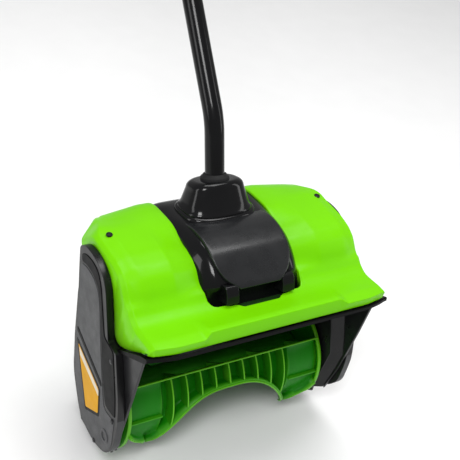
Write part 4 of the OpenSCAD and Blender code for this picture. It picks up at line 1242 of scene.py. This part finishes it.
def build_battery():
    s_in, s_face, s_end = 606, BLOCK[1] + 1, 705
    tongue = layered([(s_in, 36.5, 35, 6), (s_in + 2, 37.4, 35.9, 6), (s_face + 2, 37.4, 35.9, 6)], BLOCK_Y)
    body = layered([(s_face, 40.4, 38.9, 9), (s_face + 1.2, 41.4, 39.9, 10), (s_face + 12, 41.4, 39.9, 10),
                    (s_face + 13, 40.6, 39.1, 10), (s_face + 15, 40.6, 39.1, 10),
                    (s_face + 16, 41.4, 39.9, 10), (s_end - 8, 41.2, 39.7, 10), (s_end - 3, 39.6, 38.1, 10),
                    (s_end - 0.8, 36.8, 35.3, 9), (s_end, 33, 31.5, 8)], BLOCK_Y)
    top = BLOCK_Y - 40
    niche = block((-12.5, top - 6, BLOCK[1] - 23), (12.5, top + 13, BLOCK[1] + 26.4))
    slots = [block((x - 2, -14, s_in - 2), (x + 2, 12, s_in + 14)) for x in (-20, -7, 7, 20)]
    shell = carved(solid("battery", join(tongue, body)), [niche] + slots, use_self=True)
    piece("battery_case", shell, "battery_plastic", SHAFT, "battery", replaces=["battery_pack"], bevel=0.4,
          angle=40)
    vents = [block((side * 40.4 - 1.4, BLOCK_Y - 18, s), (side * 40.4 + 1.4, BLOCK_Y + 18, s + 2.2))
             for side in (-1, 1) for s in (s_face + 22, s_face + 27, s_face + 32)]
    piece("battery_vent_ribs", join(*vents), "battery_plastic", SHAFT, "battery", bevel=0.5)
    gauge = layered([(s_end - 1, 16, 5, 3), (s_end + 0.6, 16, 5, 3), (s_end + 0.9, 15.4, 4.4, 3)], BLOCK_Y)
    piece("charge_gauge", gauge, "battery_plastic", SHAFT, "battery", look=LOOKS["black_gloss"], angle=30)
    lamps = [lathe([(0.001, s_end + 1.5), (1.1, s_end + 1.4), (1.5, s_end + 1.0), (1.5, s_end - 1)], n=24,
                   centre=(x, BLOCK_Y, 0)) for x in (-10, -3.5, 3, 9.5)]
    piece("charge_lamps", join(*lamps), "battery_plastic", SHAFT, "battery", look=LAMP_GREEN, angle=40)
    rows = [(top + 8, 11.9, 10.9, 3), (top + 0.2, 11.9, 10.9, 3), (top - 0.8, 11, 10, 3),
            (top - 1.2, 9, 8, 3)]
    ribs = [block((-8, top - 2.2, BLOCK[1] + z), (8, top - 1, BLOCK[1] + z + 1.2))
            for z in (8, 11, 14, 17, 20)]
    tail = block((-11.9, top + 4, BLOCK[1] - 20.9), (11.9, top + 7.9, BLOCK[1] + 4))
    latch = join(layered(rows, BLOCK[1] + 14, axis="y"), *ribs, tail)
    piece("release_latch", latch, "black_plastic", SHAFT, "battery_latch", replaces=["battery_latch"],
          bevel=0.3)


build_hood()
build_motor_cover()
build_boss()
build_rotor()
build_sides()
build_screws()
build_trim()
build_shaft()
build_front_handle()
build_rear_handle()
build_battery()


# ---- camera, light, floor ----


def aim(obj, place, right, up, back):
    obj.matrix_world = Matrix.Translation(place) @ Matrix((right, up, back)).transposed().to_4x4()


def make_camera():
    """The camera stands in front, to the left and above, and looks past the head."""
    data = bpy.data.cameras.new("camera")
    data.sensor_width = 36
    data.lens = 78.4
    data.clip_start = 0.05
    camera = linked("camera", data)
    # found by fitting the rotor, the ends of the hood and the tube to the photo
    back = Vector((-0.5029, -0.6479, 0.5721)).normalized()
    up = Vector((0.1675, 0.5763, 0.7999))
    up = (up - back * up.dot(back)).normalized()
    right = up.cross(back)
    place = AXLE + Vector((-0.6404, -0.8202, 0.9613))
    aim(camera, place, right, up, back)
    bpy.context.scene.camera = camera


def area(name, place, target, size, power):
    data = bpy.data.lights.new(name, "AREA")
    data.shape = "RECTANGLE"
    data.size, data.size_y = size
    data.energy = power
    lamp = linked(name, data)
    back = (Vector(place) - Vector(target)).normalized()
    right = Vector((0, 0, 1)).cross(back).normalized()
    aim(lamp, Vector(place), right, back.cross(right), back)


def make_stage():
    size = 4
    part = grid([[(x, y, -0.0006) for x in (-size, 0, size)] for y in (-size, 0, size)])
    mesh = mesh_of("floor", part)
    floor = linked("floor", mesh)
    mesh.materials.append(shade("floor_paper", (0.90, 0.90, 0.90), rough=(0.7, 0.85), tone=0.01, bump=0.02))
    world = bpy.data.worlds.new("world")
    bpy.context.scene.world = world
    world.use_nodes = True
    world.node_tree.nodes["Background"].inputs["Color"].default_value = (1, 1, 1, 1)
    world.node_tree.nodes["Background"].inputs["Strength"].default_value = 0.42
    bpy.context.scene.view_settings.view_transform = "Standard"
    centre = (0, 0, 0.2)
    area("key", (-1.1, -1.1, 2.1), centre, (0.7, 0.7), 30)
    area("side", (-1.9, 0.2, 0.9), centre, (0.5, 1.2), 8)
    area("right", (1.8, -1.0, 1.1), centre, (0.4, 1.4), 7)
    area("top", (0.4, 0.3, 2.3), centre, (1.6, 0.8), 31)


make_camera()
make_stage()
